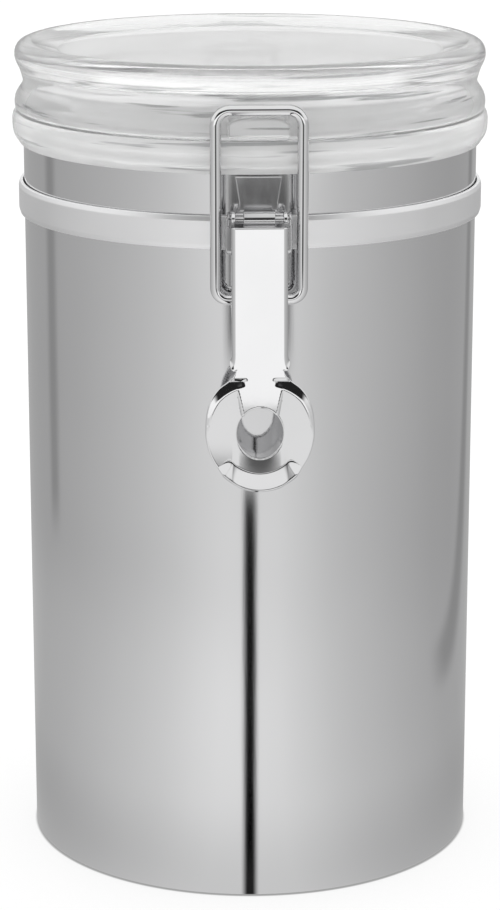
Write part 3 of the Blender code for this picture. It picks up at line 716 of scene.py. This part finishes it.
# an extruded outline, drawn in near each end by the edge's radius times 1 less the sine
def extruded(name, outline, halfWidth, soft, placeOf, steps=6):
    turn = np.linspace(0, math.pi / 2, steps)
    drawn = soft * (1 - np.sin(turn))
    drawn = np.concatenate([drawn, drawn[::-1]])
    across = halfWidth - soft * (1 - np.cos(turn))
    across = np.concatenate([-across, across[::-1]])
    slope = np.roll(outline, -1, axis=0) - np.roll(outline, 1, axis=0)
    normal = np.stack([slope[:, 1], -slope[:, 0]], axis=1)
    normal /= np.linalg.norm(normal, axis=1, keepdims=True)
    shape = outline[None] - normal[None] * drawn[:, None, None]
    points = placeOf(np.repeat(across[:, None], len(outline), 1), shape[..., 0], shape[..., 1])
    faces = gridFaces(len(across), len(outline), wrapColumns=True)
    return meshOf(name, points, faces, closeEnds=True)


# a place across the can, that far out and that high, on the hinge's side or on the latch's side
def behind(x, u, z):
    return np.stack([x, u, z], axis=-1)


def ahead(x, u, z):
    return np.stack([x, -u, z], axis=-1)


# half a circle round the hinge pin, run back into the lid's side
def hingeLugMesh():
    radius = lid["lugRadius"]
    root = collarRadius - lid["neckSetback"] - lid["lugRoot"]
    eye = arcPoints(lidPivot, radius, np.linspace(-math.pi / 2, math.pi / 2, lid["lugSteps"]))
    low, top = (root, lidBottom + lid["lugLow"]), (root, lidPivot[1] + radius * lid["lugHigh"])
    outline = np.concatenate([[low], eye, [top]])
    return extruded("hingeLug", outline, lid["lugHalfWidth"], lid["lugSoft"], behind)


# the round bore through the lug
def hingeBoreMesh():
    outline = arcPoints(lidPivot, lid["lugBore"], evenAngles(lid["boreSteps"]))
    return extruded("hingeBore", outline, lid["lugHalfWidth"] + lid["boreOver"], lid["boreSoft"], behind, 2)


# a solid with each tool joined to it or cut from it in turn
def joinedSolid(name, mesh, tools):
    made = linked(name, mesh)
    helpers = []
    for tool, operation in tools:
        helpers.append(linked(tool.name, tool))
        step = made.modifiers.new(operation, "BOOLEAN")
        step.object = helpers[-1]
        step.operation = operation
        step.solver = "EXACT"
    bpy.context.view_layer.update()
    result = bpy.data.meshes.new_from_object(made.evaluated_get(bpy.context.evaluated_depsgraph_get()))
    for spent in [made, *helpers]:
        bpy.data.objects.remove(spent)
    return result


addPiece("clearLid", lidMesh(), clearAcrylic, "lid", ("lid",), sharp=50)

# the gasket in the plug's groove: a web with a fin above and below
gasket = {"fin": 0.6, "web": 0.3, "soft": 0.22, "steps": 240}


# the fins reach out to the collar's bore, less the gap
def gasketMesh():
    high = lidBottom - lid["grooveDrop"] - seatGap
    low = high + 2 * seatGap - lid["grooveHeight"]
    inner = plugRadius - lid["grooveDepth"] + seatGap
    tip = plugRadius + lid["plugClearance"] - seatGap
    web, fin, soft = plugRadius + gasket["web"], gasket["fin"], gasket["soft"]
    section = roundedLine(
        [
            (inner, high, soft), (tip, high, soft), (tip, high - fin, soft), (web, high - fin, soft),
            (web, low + fin, soft), (tip, low + fin, soft), (tip, low, soft), (inner, low, soft),
        ]
    )
    return turnedMesh("lidGasket", section, gasket["steps"])


addPiece("lidGasket", gasketMesh(), softSilicone, "lid", ("lid_gasket",))

# the band, open behind at its joint
band = {"thickness": 1.1, "edgeDrop": 0.35, "edgeWidth": 1.2, "soft": 0.25, "joint": 1.2, "steps": 320}


# a flat section with its edges turned in, carried round to each side of the joint
def bandMesh():
    inner = canRadius + seatGap
    outer = inner + band["thickness"]
    top, low = bandHigh[2], bandLow[2]
    edge, soft = outer - band["edgeDrop"], band["soft"]
    section = roundedLine(
        [
            (inner, top, soft / 2), (edge, top, soft), (outer, top - band["edgeWidth"], soft * 4),
            (outer, low + band["edgeWidth"], soft * 4), (edge, low, soft), (inner, low, soft / 2),
        ]
    )
    half = band["joint"] / 2 / inner
    angles = np.linspace(half - math.pi, math.pi - half, band["steps"])
    faces = gridFaces(len(section), len(angles), True)
    return meshOf("clampBand", turnedGrid(section, angles), faces, closeEnds=True)


addPiece("clampBand", bandMesh(), bandSteel, "can", ("clamp_band",))

# the two brackets: a strip hooked over the band, and a knuckle rolled from it
bracket = {
    "sheet": 0.8, "halfWidth": 7.8, "corner": 2.0, "waist": 4.6, "tongue": 5.6, "waistRise": 2.4,
    "waistLength": 3, "waistBlend": 1.2, "plateTop": 1.1, "plateEnd": 0.9, "hemInset": 1.6,
    "hemLength": 4, "hemBlend": 0.5, "fold": 0.7,
    "topFold": 0.9,  # share of the fold's radius at the two upper bends
    "foldReach": 0.3, "footGap": 0.05, "margin": (0.5, 0.4), "rollHalfWidth": 3.7,
    "rollTurn": (195, -95), "rollSteps": 60, "rollLead": ((-0.4, -0.02), (0.5, -0.5), (0.0, -1.6)),
    "leadSteps": 6,
    "rollEdge": 0.22, "rollMargin": 0.3, "latchRoll": (2.2, 1.3), "hingeRoll": (2.6, 1.65),
    "cell": 0.165, "edge": 0.2,
}


# the bent strip: its blank is a waisted tongue, a rounded plate and a narrower hem, blended
def bracketStrip(name, placeOf):
    sheet, fold, corner = bracket["sheet"], bracket["fold"], bracket["corner"]
    inner = canRadius + seatGap + sheet / 2
    outer = canRadius + seatGap + band["thickness"] + seatGap + sheet / 2
    over = bandHigh[2] + seatGap + sheet / 2
    under = bandLow[2] - seatGap - sheet / 2
    top = canTop - collar["lipDepth"] - seatGap
    path = SidePath(
        [
            (inner, top, 0), (inner, over, fold * bracket["topFold"]),
            (outer, over, fold * bracket["topFold"]), (outer, under, fold),
            (canRadius + seatGap + bracket["footGap"], under, 0),
        ]
    )
    foldAt = path.nearest(over + bracket["foldReach"])
    waist, tongue, wide = bracket["waist"], bracket["tongue"], bracket["halfWidth"]
    waistFrom, waistTo = foldAt - bracket["waistRise"], foldAt + bracket["waistLength"]
    right = [(tongue, 0), (waist, waistFrom), (waist, waistTo)]
    flare = right + [(-a, s) for a, s in right[::-1]]
    plateLow = (-wide + corner, foldAt + bracket["plateTop"] + corner)
    plateHigh = (wide - corner, path.length - bracket["plateEnd"] - corner)
    hemLow = (-wide + bracket["hemInset"], path.length - bracket["hemLength"])
    hemHigh = (wide - bracket["hemInset"], path.length)

    def field(a, s):
        plate = boxField(a, s, plateLow, plateHigh) - corner
        hem = boxField(a, s, hemLow, hemHigh)
        upper = blended(outlineField(a, s, flare), plate, bracket["waistBlend"])
        return blended(upper, hem, bracket["hemBlend"])

    def centre(a, s):
        u, z = path.at(s)
        return placeOf(u * np.sin(a / inner), u * np.cos(a / inner), z)

    side, end = bracket["margin"]
    low, high = (-wide - side, -end), (wide + side, path.length + end)
    return sheetMesh(name, field, low, high, bracket["cell"], sheet, bracket["edge"], centre)


# the knuckle: a strip that leaves the plate and rolls round the pivot, its middle halfway from bore to radius
def bracketRoll(name, placeOf, pivot, radius, bore):
    middle = (radius + bore) / 2
    plate = canRadius + seatGap + band["thickness"] + seatGap + bracket["sheet"] / 2
    turn = np.linspace(*np.radians(bracket["rollTurn"]), bracket["rollSteps"])
    curl = arcPoints(pivot, middle, turn)
    (nearU, nearZ), (midU, midZ), (farU, farZ) = bracket["rollLead"]
    u, z = curl[-1]
    lead = [(u, z), (u + nearU, z + nearZ), (plate + midU, z + midZ), (plate + farU, z + farZ)]
    line = np.concatenate([curl, smoothLine(lead, bracket["leadSteps"])[1:]])
    steps = lengthsAlong(line)
    half, margin = bracket["rollHalfWidth"], bracket["rollMargin"]

    def field(a, s):
        return boxField(a, s, (-half, 0), (half, steps[-1]))

    def centre(a, s):
        return placeOf(a, np.interp(s, steps, line[:, 0]), np.interp(s, steps, line[:, 1]))

    low, high = (-half - margin, -margin), (half + margin, steps[-1] + margin)
    return sheetMesh(name, field, low, high, bracket["cell"], radius - bore, bracket["rollEdge"], centre)


# strip and knuckle in one mesh
def bracketMesh(name, placeOf, pivot, roll):
    strip = bracketStrip(name + "Strip", placeOf)
    return joinedMesh(name, [strip, bracketRoll(name + "Roll", placeOf, pivot, *roll)])


hingeFoot = (lidPivot[0], (bandLow[2] + bandHigh[2]) / 2)
latchBracket = bracketMesh("latchBracket", ahead, leverPivot, bracket["latchRoll"])
hingeBracket = bracketMesh("hingeBracket", behind, hingeFoot, bracket["hingeRoll"])
addPiece("latchBracket", latchBracket, fittingSteel, "can", ("latch_bracket",))
addPiece("hingeBracket", hingeBracket, fittingSteel, "can", ("hinge_bracket",))

# the lever's pin
pin = {
    "radius": 1.0, "headRadius": 1.9, "headHeight": 0.6, "headRound": 0.45, "headUnder": 0.12,
    "neckRound": 0.1, "shank": 6.9, "steps": 48,
}


# half a pin's section, mirrored, and turned about the lever's own axis
def pinMesh():
    head, shank, radius = pin["headRadius"], pin["shank"], pin["radius"]
    corners = [
        (0, shank + pin["headHeight"], 0), (head, shank + pin["headHeight"], pin["headRound"]),
        (head, shank, pin["headUnder"]), (radius, shank, pin["neckRound"]), (radius, 0, 0),
    ]
    half = roundedLine(corners, closed=False)
    section = np.concatenate([half, (half * (1, -1))[::-1][1:]])
    angle = evenAngles(pin["steps"])
    reach, along = section[:, :1], section[:, 1:]
    u, z = leverPivot[0] + reach * np.cos(angle), leverPivot[1] + reach * np.sin(angle)
    faces = gridFaces(len(section), pin["steps"], wrapColumns=True)
    return meshOf("leverPin", ahead(along + 0 * angle, u, z), faces)


addPiece("leverPin", pinMesh(), fittingSteel, "can", ("lever_pin",))

# the lever: one blank with folded walls, an oval head and a finger hole
lever = {
    "lean": math.radians(4), "halfWidth": 6.6, "sheet": 1.0, "fold": 0.9, "leastFold": 0.001,
    "foldOut": (-2, 3),  # where the walls open out flat, from the flanges' low end
    "faceOffset": 2.6, "faceDrop": 1.5, "faceLength": 37.5, "eye": 2.1, "eyeArc": (360, 175, -12),
    "footEye": 2.35, "footArc": (0, 120, 12), "wallSlope": (0.3, 9.6), "wallOverlap": 0.5,
    "tongueOverlap": 0.4, "flangeDepth": 2.2, "flangeGap": 2, "flangeRise": 5, "flangeDrop": 0.8,
    "flangeTaper": 2, "pinBore": 1.3, "bailBore": 1.65, "headHalfWidth": 12.75, "headHalfLength": 13.6,
    "headDrop": 11.0, "headTurn": math.radians(5), "bendRadius": 12.0, "lipStart": 0.715,
    "lipFull": 0.765, "lipSide": (0.62, 0.74), "lipSlope": 0.72, "tiltHalf": (4.6, 6.8),
    "tiltInset": 0.5, "tiltSlope": 0.062, "ribHalf": (3.0, 3.4), "ribSpread": 0.2,
    "holeHalfWidth": 5.43, "holeHalfLength": 6.15, "headPower": 2.6, "shoulderBlend": 3.0,
    "shoulderStart": (0.82, 0.94), "shoulderSpan": 0.75, "shoulderFall": (0.2, 0.15),
    "shoulderSoft": (0.02, 40), "shoulderSlope": 0.36, "shoulderTop": (-0.97, -0.91),
    "stripHalf": (2.9, 4.3), "pathEnd": 2, "roundSteps": 400, "probe": 0.02, "straightTo": 0.05,
    "margin": (1, 3), "cell": 0.165, "edge": 0.28,
}


# the blank is a tongue blended into an oval head, with a wall at each side, bores in the walls and an oval
# finger hole; a is the distance across it, s the distance down the face
def leverMesh():
    sheet, lean, fold = lever["sheet"], lever["lean"], lever["fold"]
    headWidth, headLength = lever["headHalfWidth"], lever["headHalfLength"]
    holeSize = (lever["holeHalfWidth"], lever["holeHalfLength"])
    front = lever["faceOffset"] + sheet / 2
    top = -lever["faceDrop"]
    faceEnd = top - lever["faceLength"]
    turnIn = lever["headTurn"]
    reach = lever["headDrop"] + headLength + lever["pathEnd"]
    tip = (front - math.sin(turnIn) * reach, faceEnd - math.cos(turnIn) * reach)
    side = [(front, top, 0), (front, faceEnd, lever["bendRadius"]), (*tip, 0)]
    path = SidePath(side, perTurn=lever["roundSteps"])
    flat = lever["halfWidth"] - sheet / 2 - fold
    foldLength = fold * math.pi / 2
    foot = (bailPivot[0] - leverPivot[0], bailPivot[1] - leverPivot[1])
    footOut = foot[0] * math.cos(lean) + foot[1] * math.sin(lean)
    footUp = foot[1] * math.cos(lean) - foot[0] * math.sin(lean)
    headAt = path.nearest(faceEnd - lever["headDrop"])
    flangeLow = path.nearest(faceEnd + lever["flangeRise"]) - lever["flangeDrop"]
    bendAt = path.nearest(faceEnd)

    # a wall's depth behind the face's middle, as a place on the blank
    def onBlank(depth):
        return flat + foldLength + depth - fold

    eye, footEye = lever["eye"], lever["footEye"]
    pinPlace = (onBlank(front), top)
    footPlace = (onBlank(front - footOut), top - footUp)
    flange = onBlank(lever["flangeDepth"] - sheet / 2)
    flangeTop = footPlace[1] + footEye + lever["flangeGap"]
    slopeIn, slopeDown = lever["wallSlope"]
    wallStart = flat - lever["wallOverlap"]
    taper = flangeLow + lever["flangeTaper"]
    wallOutline = np.concatenate(
        [
            [(wallStart, taper), (wallStart, 0), (pinPlace[0] - eye, 0)],
            arcPoints(pinPlace, eye, np.radians(np.arange(*lever["eyeArc"]))),
            [(pinPlace[0] + eye + slopeIn, pinPlace[1] + slopeDown)],
            arcPoints(footPlace, footEye, np.radians(np.arange(*lever["footArc"]))),
            [(flange, flangeTop), (flange, flangeLow), (onBlank(fold), taper)],
        ]
    )
    bores = ((pinPlace, lever["pinBore"]), (footPlace, lever["bailBore"]))
    tongueSide = flat + lever["tongueOverlap"]

    def field(a, s):
        size = np.abs(a)
        tongue = boxField(a, s, (-tongueSide, 0), (tongueSide, headAt))
        head = ovalField(a, s, (0, headAt), (headWidth, headLength), lever["headPower"])
        shape = blended(tongue, head, lever["shoulderBlend"])
        shape = np.minimum(shape, outlineField(size, s, wallOutline))
        for place, bore in bores:
            shape = np.maximum(shape, bore - np.hypot(size - place[0], s - place[1]))
        return np.maximum(shape, -ovalField(a, s, (0, headAt), holeSize))

    # the side walls fold by f quarter turns round the fold's radius, and open out flat before the ring
    def folded(a, s):
        first, last = lever["foldOut"]
        f = 1 - eased(s, flangeLow + first, flangeLow + last) + lever["leastFold"]
        bent = np.clip(np.abs(a) - flat, 0, foldLength) / fold * f
        more = np.maximum(np.abs(a) - flat - foldLength, 0)
        deep = fold / f * (1 - np.cos(bent)) + more * np.sin(f * math.pi / 2)
        wide = np.minimum(np.abs(a), flat) + fold / f * np.sin(bent) + more * np.cos(f * math.pi / 2)
        return wide, deep

    # the shoulders bend back beyond their start with a soft beginning, but not under the tongue's own strip
    def shoulders(a, ovalA, ovalS, ring):
        low, high = lever["shoulderStart"]
        share, onset = lever["shoulderFall"]
        start = low + (high - low) * np.clip(np.abs(ovalA) / lever["shoulderSpan"], 0, 1)
        start = start + share * np.clip(ovalS + onset, 0, 1)
        beyond = np.maximum(ring - start, 0)
        soft, fade = lever["shoulderSoft"]
        beyond = np.sqrt(beyond**2 + soft**2) - soft * np.exp(-beyond * fade)
        strip = eased(np.abs(a), *lever["stripHalf"])
        return beyond * headWidth * lever["shoulderSlope"] * strip * eased(ovalS, *lever["shoulderTop"])

    # a lip turns outwards round the ring's lower end: nothing, then a parabola, then a slope
    def lip(ovalS, ring):
        edge = ring - lever["lipStart"]
        ramp = lever["lipFull"] - lever["lipStart"]
        rise = np.where(edge < ramp, np.maximum(edge, 0) ** 2 / (2 * ramp), edge - ramp / 2)
        return rise * eased(ovalS / (ring + tiny), *lever["lipSide"]) * headWidth * lever["lipSlope"]

    # the strip under the hole leans towards the lip
    def tilt(a, s):
        away = np.maximum(np.hypot(a, s - headAt) - lever["holeHalfLength"] + lever["tiltInset"], 0)
        return away * lever["tiltSlope"] * (1 - eased(np.abs(a), *lever["tiltHalf"])) * (s > headAt)

    # the lever's flat face runs on as a low rib to the top of the hole: it makes up for the path's bend
    def rib(a, s):
        side = np.abs(a) - (headAt - s) * lever["ribSpread"]
        half = lever["bendRadius"] * turnIn / 2
        bend = np.maximum(s - bendAt + half, 0) ** 2 / (2 * lever["bendRadius"])
        past = np.where(s < bendAt + half, bend, (s - bendAt) * math.tan(turnIn))
        return past * (1 - eased(side, *lever["ribHalf"])) * (s < headAt)

    # a place on the path, moved back along its normal by the depth, then leant by the lever's rest angle
    def centre(a, s):
        u, z = path.at(s)
        z = z - np.minimum(s, 0)
        before, after = path.at(s - lever["probe"]), path.at(s + lever["probe"])
        straight = s < lever["straightTo"]
        du = np.where(straight, 0, after[0] - before[0])
        dz = np.where(straight, -1, after[1] - before[1])
        size = np.hypot(du, dz)
        wide, deep = folded(a, s)
        ovalA, ovalS = a / headWidth, (s - headAt) / headLength
        ring = np.hypot(ovalA, ovalS)
        deep = deep + shoulders(a, ovalA, ovalS, ring) - lip(ovalS, ring) - tilt(a, s) - rib(a, s)
        u, z = u + dz / size * deep, z - du / size * deep
        turnedU = u * math.cos(lean) - z * math.sin(lean)
        turnedZ = z * math.cos(lean) + u * math.sin(lean)
        return ahead(np.sign(a) * wide, leverPivot[0] + turnedU, leverPivot[1] + turnedZ)

    margin, above = lever["margin"]
    side = max(footPlace[0] + footEye, headWidth) + margin
    start, end = (-side, -eye - above), (side, headAt + headLength + margin)
    return sheetMesh("latchLever", field, start, end, lever["cell"], sheet, lever["edge"], centre)


addPiece("latchLever", leverMesh(), brightSteel, "lever", ("lever",), sharp=60)

# the wire loops: the bail in front and the hinge's wire behind
loop = {
    "wire": 1.35, "sides": 28, "domeSteps": 6, "halfWidth": 10.15, "barCorner": 3.4, "footCorner": 2.8,
    "bailFoot": 4.6, "barInset": 0.1, "hingeFoot": 1.0, "spacing": 0.5, "roundSteps": 72,
}


# loop path in its own plane: a foot turned in at each end, two legs, and a bar across the top
def loopPath(length, footEnd):
    wide = loop["halfWidth"]
    line = roundedLine(
        [
            (-footEnd, 0, 0), (-wide, 0, loop["footCorner"]), (-wide, length, loop["barCorner"]),
            (wide, length, loop["barCorner"]), (wide, 0, loop["footCorner"]), (footEnd, 0, 0),
        ],
        closed=False,
        perTurn=loop["roundSteps"],
    )
    steps = lengthsAlong(line)
    spread = np.linspace(0, steps[-1], int(steps[-1] / loop["spacing"]))
    return np.stack([np.interp(spread, steps, line[:, i]) for i in (0, 1)], axis=1)


# wire: a circle of points carried along a flat path, with domed ends; the circle's two directions are the
# plane's normal and its cross product with the path's
def wireMesh(name, path, planeNormal):
    radius, dome = loop["wire"], loop["domeSteps"]
    tangent = np.gradient(path, axis=0)
    tangent /= np.linalg.norm(tangent, axis=1, keepdims=True)
    turn = np.linspace(0, math.pi / 2, dome, endpoint=False)
    reach = np.cos(turn)[:, None] * radius
    line = np.concatenate([path[:1] - tangent[:1] * reach, path, path[-1:] + tangent[-1:] * reach[::-1]])
    along = np.concatenate([np.repeat(tangent[:1], dome, 0), tangent, np.repeat(tangent[-1:], dome, 0)])
    size = np.concatenate([np.sin(turn), np.ones(len(path)), np.sin(turn)[::-1]]) * radius
    side = np.cross(along, planeNormal)
    side /= np.linalg.norm(side, axis=1, keepdims=True)
    angle = evenAngles(loop["sides"])[:, None]
    ring = side[:, None] * np.cos(angle) + planeNormal * np.sin(angle)
    points = line[:, None] + ring * size[:, None, None]
    return meshOf(name, points, gridFaces(len(line), loop["sides"], wrapColumns=True))


# a loop from its feet up to its bar, both given as (u, height)
def loopMesh(name, foot, bar, footEnd, placeOf):
    length = math.hypot(bar[0] - foot[0], bar[1] - foot[1])
    u, z = (bar[0] - foot[0]) / length, (bar[1] - foot[1]) / length
    across, up = loopPath(length, footEnd).T
    path = placeOf(across, foot[0] + u * up, foot[1] + z * up)
    return wireMesh(name, path, placeOf(0.0, z, -u))


barPlace = (leverPivot[0] - loop["barInset"], bailHigh[2] - loop["wire"])
bailMesh = loopMesh("wireBail", bailPivot, barPlace, loop["bailFoot"] + loop["wire"], ahead)
hingeWireMesh = loopMesh("hingeWire", hingeFoot, lidPivot, loop["hingeFoot"] + loop["wire"], behind)
addPiece("wireBail", bailMesh, brightSteel, "bail", ("bail",))
addPiece("hingeWire", hingeWireMesh, brightSteel, "can", ("hinge_wire",))

# floor, surroundings and camera
studio = {
    "floorHalf": 3.0, "floorDrop": 0.0002,
    # brightness of the white tent round the can: (degrees from the camera's side, level), left to right
    "tent": (
        (-180, 0.445), (-121, 0.475), (-92, 0.546), (-72, 0.612), (-54, 0.686), (-37, 0.777),
        (-23, 0.878), (-13, 0.935), (0, 0.95), (13, 0.925), (26, 0.83), (37, 0.747),
        (48, 0.686), (72, 0.588), (100, 0.496), (118, 0.462), (180, 0.445),
    ),
    # the dark slit in front of the camera, on the floor close to the can: degrees to each side, metres out
    "slitInner": 1.2, "slitOuter": 5.0, "slitEnd": (0.41, 0.47), "slitOffset": 0.0285,
    "slitLeast": 0.01,
    # the dark room behind the camera, above the tent's front edge
    "roomSide": (38.0, 55.0), "roomLow": (4.0, 8.0), "roomHigh": (28.0, 44.0), "roomDark": 0.02,
    # the dark front edge of the table, and the brighter wall just above it
    "shadeSide": 4.2, "shadeWidth": (12.0, 18.0), "shadeNear": (0.60, 0.72), "shadeFar": (1.18, 1.34),
    "shadeDark": 0.12, "wallBright": 1.22,
    # what shows through the clear plastic: brighter than white, two dark gaps behind left and right
    "lightLift": 0.22, "gapSide": ((127.0, 138.0), (150.0, 157.0)),
    "gapHigh": ((-4.0, -1.5), (2.5, 4.0)), "gapDark": 0.93, "wallSide": (30.0, 60.0),
    "skyLow": (2.0, 12.0),
    # light thrown back by the floor near the can, left and right, then its own shadow close in
    "nearLift": (0.13, 0.05), "nearTurn": (-25.0, 25.0), "nearStart": (0.20, 0.34),
    "nearShadow": (0.07, 0.17), "nearShadowLevel": 0.3,
    "footShade": (0.062, 0.125),  # floor beside the can, as the can mirrors it
    "footShadeLevel": 0.86,
    # painted contact shadow on the floor, the soft dark line below
    "paintedContactShadow": (0.0567, 0.0576),  # soft dark line where the can meets the floor
    "paintedContactShadowLevel": 0.42, "slitFoot": (0.062, 0.1), "slitFootLevel": 0.975,
    # two soft darker stripes that lie across the floor behind, left and right of the can
    "leftStripe": {
        "start": (-0.0506, -0.0262), "along": (-0.837, 0.548), "least": 0.001, "width": (0.02, 0.13),
        "from": (0.27, 0.36),
    },
    "rightStripe": {
        "side": 0.104, "bow": 0.08, "slope": 0.6, "from": 0.04, "spread": 4.0, "fade": (0.0, 0.06),
        "width": (0.005, 0.03),
    },
    "stripeDark": 0.30, "floorGlow": 0.7, "cameraAzimuth": -2.0, "cameraDistance": 0.72814,
    "cameraHeight": 0.29154, "aimHeight": 0.09846, "lens": 114.74, "sensor": 36, "clipStart": 0.01,
    "bounces": (24, 12, 20),  # in all, off mirrors and through clear plastic
}


# how bright the floor looks in a reflection, by the side it lies on
def tentLevel(graph, turn):
    stops = [((angle + 180) / 360, (level, level, level)) for angle, level in studio["tent"]]
    return graph.term("ShaderNodeValToRGB", {"stops": stops}, {0: (turn + 180.0) / 360.0})


# degrees round the can from the camera's side
def turnFrom(graph, x, y):
    azimuth = graph.maths("ARCTAN2", x, -1.0 * y) * perRadian
    return azimuth - studio["cameraAzimuth"]


# 1 between the soft limits, 0 outside
def patch(value, low, high):
    return value.within(*low) * value.until(*high)


# rays from the camera; mirrored ones, which are glossy and not transmitted; and glossy or transmitted ones
def rayKinds(graph):
    rays = graph.node("ShaderNodeLightPath").outputs
    kinds = ("Is Camera Ray", "Is Glossy Ray", "Is Transmission Ray")
    camera, glossy, through = (Term(graph, rays[kind]) for kind in kinds)
    return camera, glossy * (1.0 - through), graph.maths("MAXIMUM", glossy, through)


# mirrors see the tent's level by direction and the dark room; clear plastic sees white, the room and the gaps
def buildWorld():
    world = bpy.data.worlds.new("whiteTent")
    bpy.context.scene.world = world
    world.use_nodes = True
    graph = Graph(world.node_tree)
    x, y, z = graph.axes(graph.term("ShaderNodeTexCoord", output=0))
    turn = turnFrom(graph, x, y)
    high = graph.maths("ARCSINE", z) * perRadian
    camera, mirrored, indirect = rayKinds(graph)
    through = indirect - mirrored
    room = patch(high, studio["roomLow"], studio["roomHigh"])
    room = room * abs(turn).until(*studio["roomSide"])
    wall = abs(turn).within(*studio["wallSide"], studio["wallBright"], 0.0)
    low = graph.maths("MAXIMUM", tentLevel(graph, turn), wall)
    sky = high.within(*studio["skyLow"])
    gap = patch(abs(turn), *studio["gapSide"]) * patch(high, *studio["gapHigh"])
    lift = 1.0 + (1.0 - mirrored) * studio["lightLift"]
    level = lift * (1.0 - mirrored * (1.0 - sky) * (1.0 - low))
    level = level * (1.0 - indirect * room * (1.0 - studio["roomDark"]))
    level = level * (1.0 - through * gap * studio["gapDark"])
    seen = camera + (1.0 - camera) * level
    background = graph.term("ShaderNodeBackground", None, {"Color": seen, "Strength": 1.0})
    graph.node("ShaderNodeOutputWorld", None, {"Surface": background})


# 1 less the stripes: the left one widens along a straight line, the right one along a bow, the root of two
# squares' sum
def stripes(graph, x, y):
    left, right = studio["leftStripe"], studio["rightStripe"]
    (startX, startY), (alongX, alongY) = left["start"], left["along"]
    far = (x - startX) * alongX + (y - startY) * alongY
    off = abs((x - startX) * alongY - (y - startY) * alongX) / graph.maths("MAXIMUM", far, left["least"])
    first = off.until(*left["width"]) * far.within(*left["from"])
    rise = (y - right["from"]) * right["slope"]
    bowed = graph.maths("SQRT", rise * rise + right["bow"] ** 2) + right["side"]
    reach = 1.0 + graph.maths("MAXIMUM", y, 0.0) * right["spread"]
    second = (abs(x - bowed) / reach).until(*right["width"]) * y.within(*right["fade"])
    return 1.0 - graph.maths("MAXIMUM", first, second) * studio["stripeDark"]


# the floor is matte white; in reflections it shows the tent, and the camera sees it lifted towards white with
# its soft shadow left in, and a painted contact shadow in its colour where the can stands
def floorMaterial():
    material, graph = newGraph("paleFloor")
    x, y, _ = graph.axes(graph.term("ShaderNodeTexCoord", output=3))
    turn = turnFrom(graph, x, y)
    away = graph.maths("SQRT", x * x + y * y)
    left, right = studio["nearLift"]
    lift = turn.within(*studio["nearTurn"], left, right) * away.until(*studio["nearStart"])
    lift = lift * away.within(*studio["nearShadow"], studio["nearShadowLevel"], 1.0)
    shade = abs(turn - studio["shadeSide"]).until(*studio["shadeWidth"])
    shade = shade * patch(away, studio["shadeNear"], studio["shadeFar"])
    narrowed = abs(turn) * away / graph.maths("MAXIMUM", away - studio["slitOffset"], studio["slitLeast"])
    slit = narrowed.within(studio["slitInner"], studio["slitOuter"], 1.0, 0.0)
    slit = slit * away.until(*studio["slitEnd"])
    slit = slit * away.within(*studio["slitFoot"], studio["slitFootLevel"], 1.0)
    dark = (1.0 - slit) * (1.0 - shade * (1.0 - studio["shadeDark"]))
    bright = abs(turn).within(*studio["wallSide"], studio["wallBright"], 0.0)
    bright = bright * away.within(*studio["shadeFar"])
    camera, mirrored, indirect = rayKinds(graph)
    seen = graph.maths("MAXIMUM", tentLevel(graph, turn) * (1.0 + lift) * stripes(graph, x, y), bright)
    seen = seen * away.within(*studio["footShade"], studio["footShadeLevel"], 1.0)
    paintedContactShadow = away.within(*studio["paintedContactShadow"], studio["paintedContactShadowLevel"], 1.0)
    level = dark * (1.0 - mirrored * (1.0 - seen))
    # the floor's colour: white, with the painted contact shadow mixed in near the can
    white = graph.mixed(paintedContactShadow, (0.0, 0.0, 0.0), (1.0, 1.0, 1.0))
    matte = graph.term("ShaderNodeBsdfDiffuse", None, {"Color": white})
    plain = graph.term("ShaderNodeEmission", None, {"Color": white, "Strength": 1.0})
    glow = graph.term("ShaderNodeEmission", None, {"Color": level, "Strength": 1.0})
    surface = graph.term("ShaderNodeMixShader", None, {0: camera * studio["floorGlow"], 1: matte, 2: plain})
    surface = graph.term("ShaderNodeMixShader", None, {0: indirect, 1: surface, 2: glow})
    graph.surface(surface)
    return material


# a square floor, just under the can
def buildFloor():
    half = studio["floorHalf"]
    corners = [(-half, -half, 0), (half, -half, 0), (half, half, 0), (-half, half, 0)]
    mesh = bpy.data.meshes.new("floor")
    mesh.from_pydata(corners, [], [(0, 1, 2, 3)])
    mesh.materials.append(floorMaterial())
    floor = linked("floor", mesh)
    floor.location.z = -studio["floorDrop"]


# the camera stands at its distance and height, turned to its azimuth, and looks at a point on the can's axis
def buildCamera():
    data = bpy.data.cameras.new("camera")
    data.lens = studio["lens"]
    data.sensor_width = studio["sensor"]
    data.clip_start = studio["clipStart"]
    camera = linked("camera", data)
    azimuth = math.radians(studio["cameraAzimuth"])
    distance = studio["cameraDistance"]
    camera.location = (distance * math.sin(azimuth), -distance * math.cos(azimuth), studio["cameraHeight"])
    aim = Vector((0, 0, studio["aimHeight"])) - camera.location
    camera.rotation_euler = aim.to_track_quat("-Z", "Y").to_euler()
    bpy.context.scene.camera = camera


buildWorld()
buildFloor()
buildCamera()
bpy.context.scene.view_settings.view_transform = "Standard"
paths = bpy.context.scene.cycles
paths.max_bounces, paths.glossy_bounces, paths.transmission_bounces = studio["bounces"]
print("studio ready")
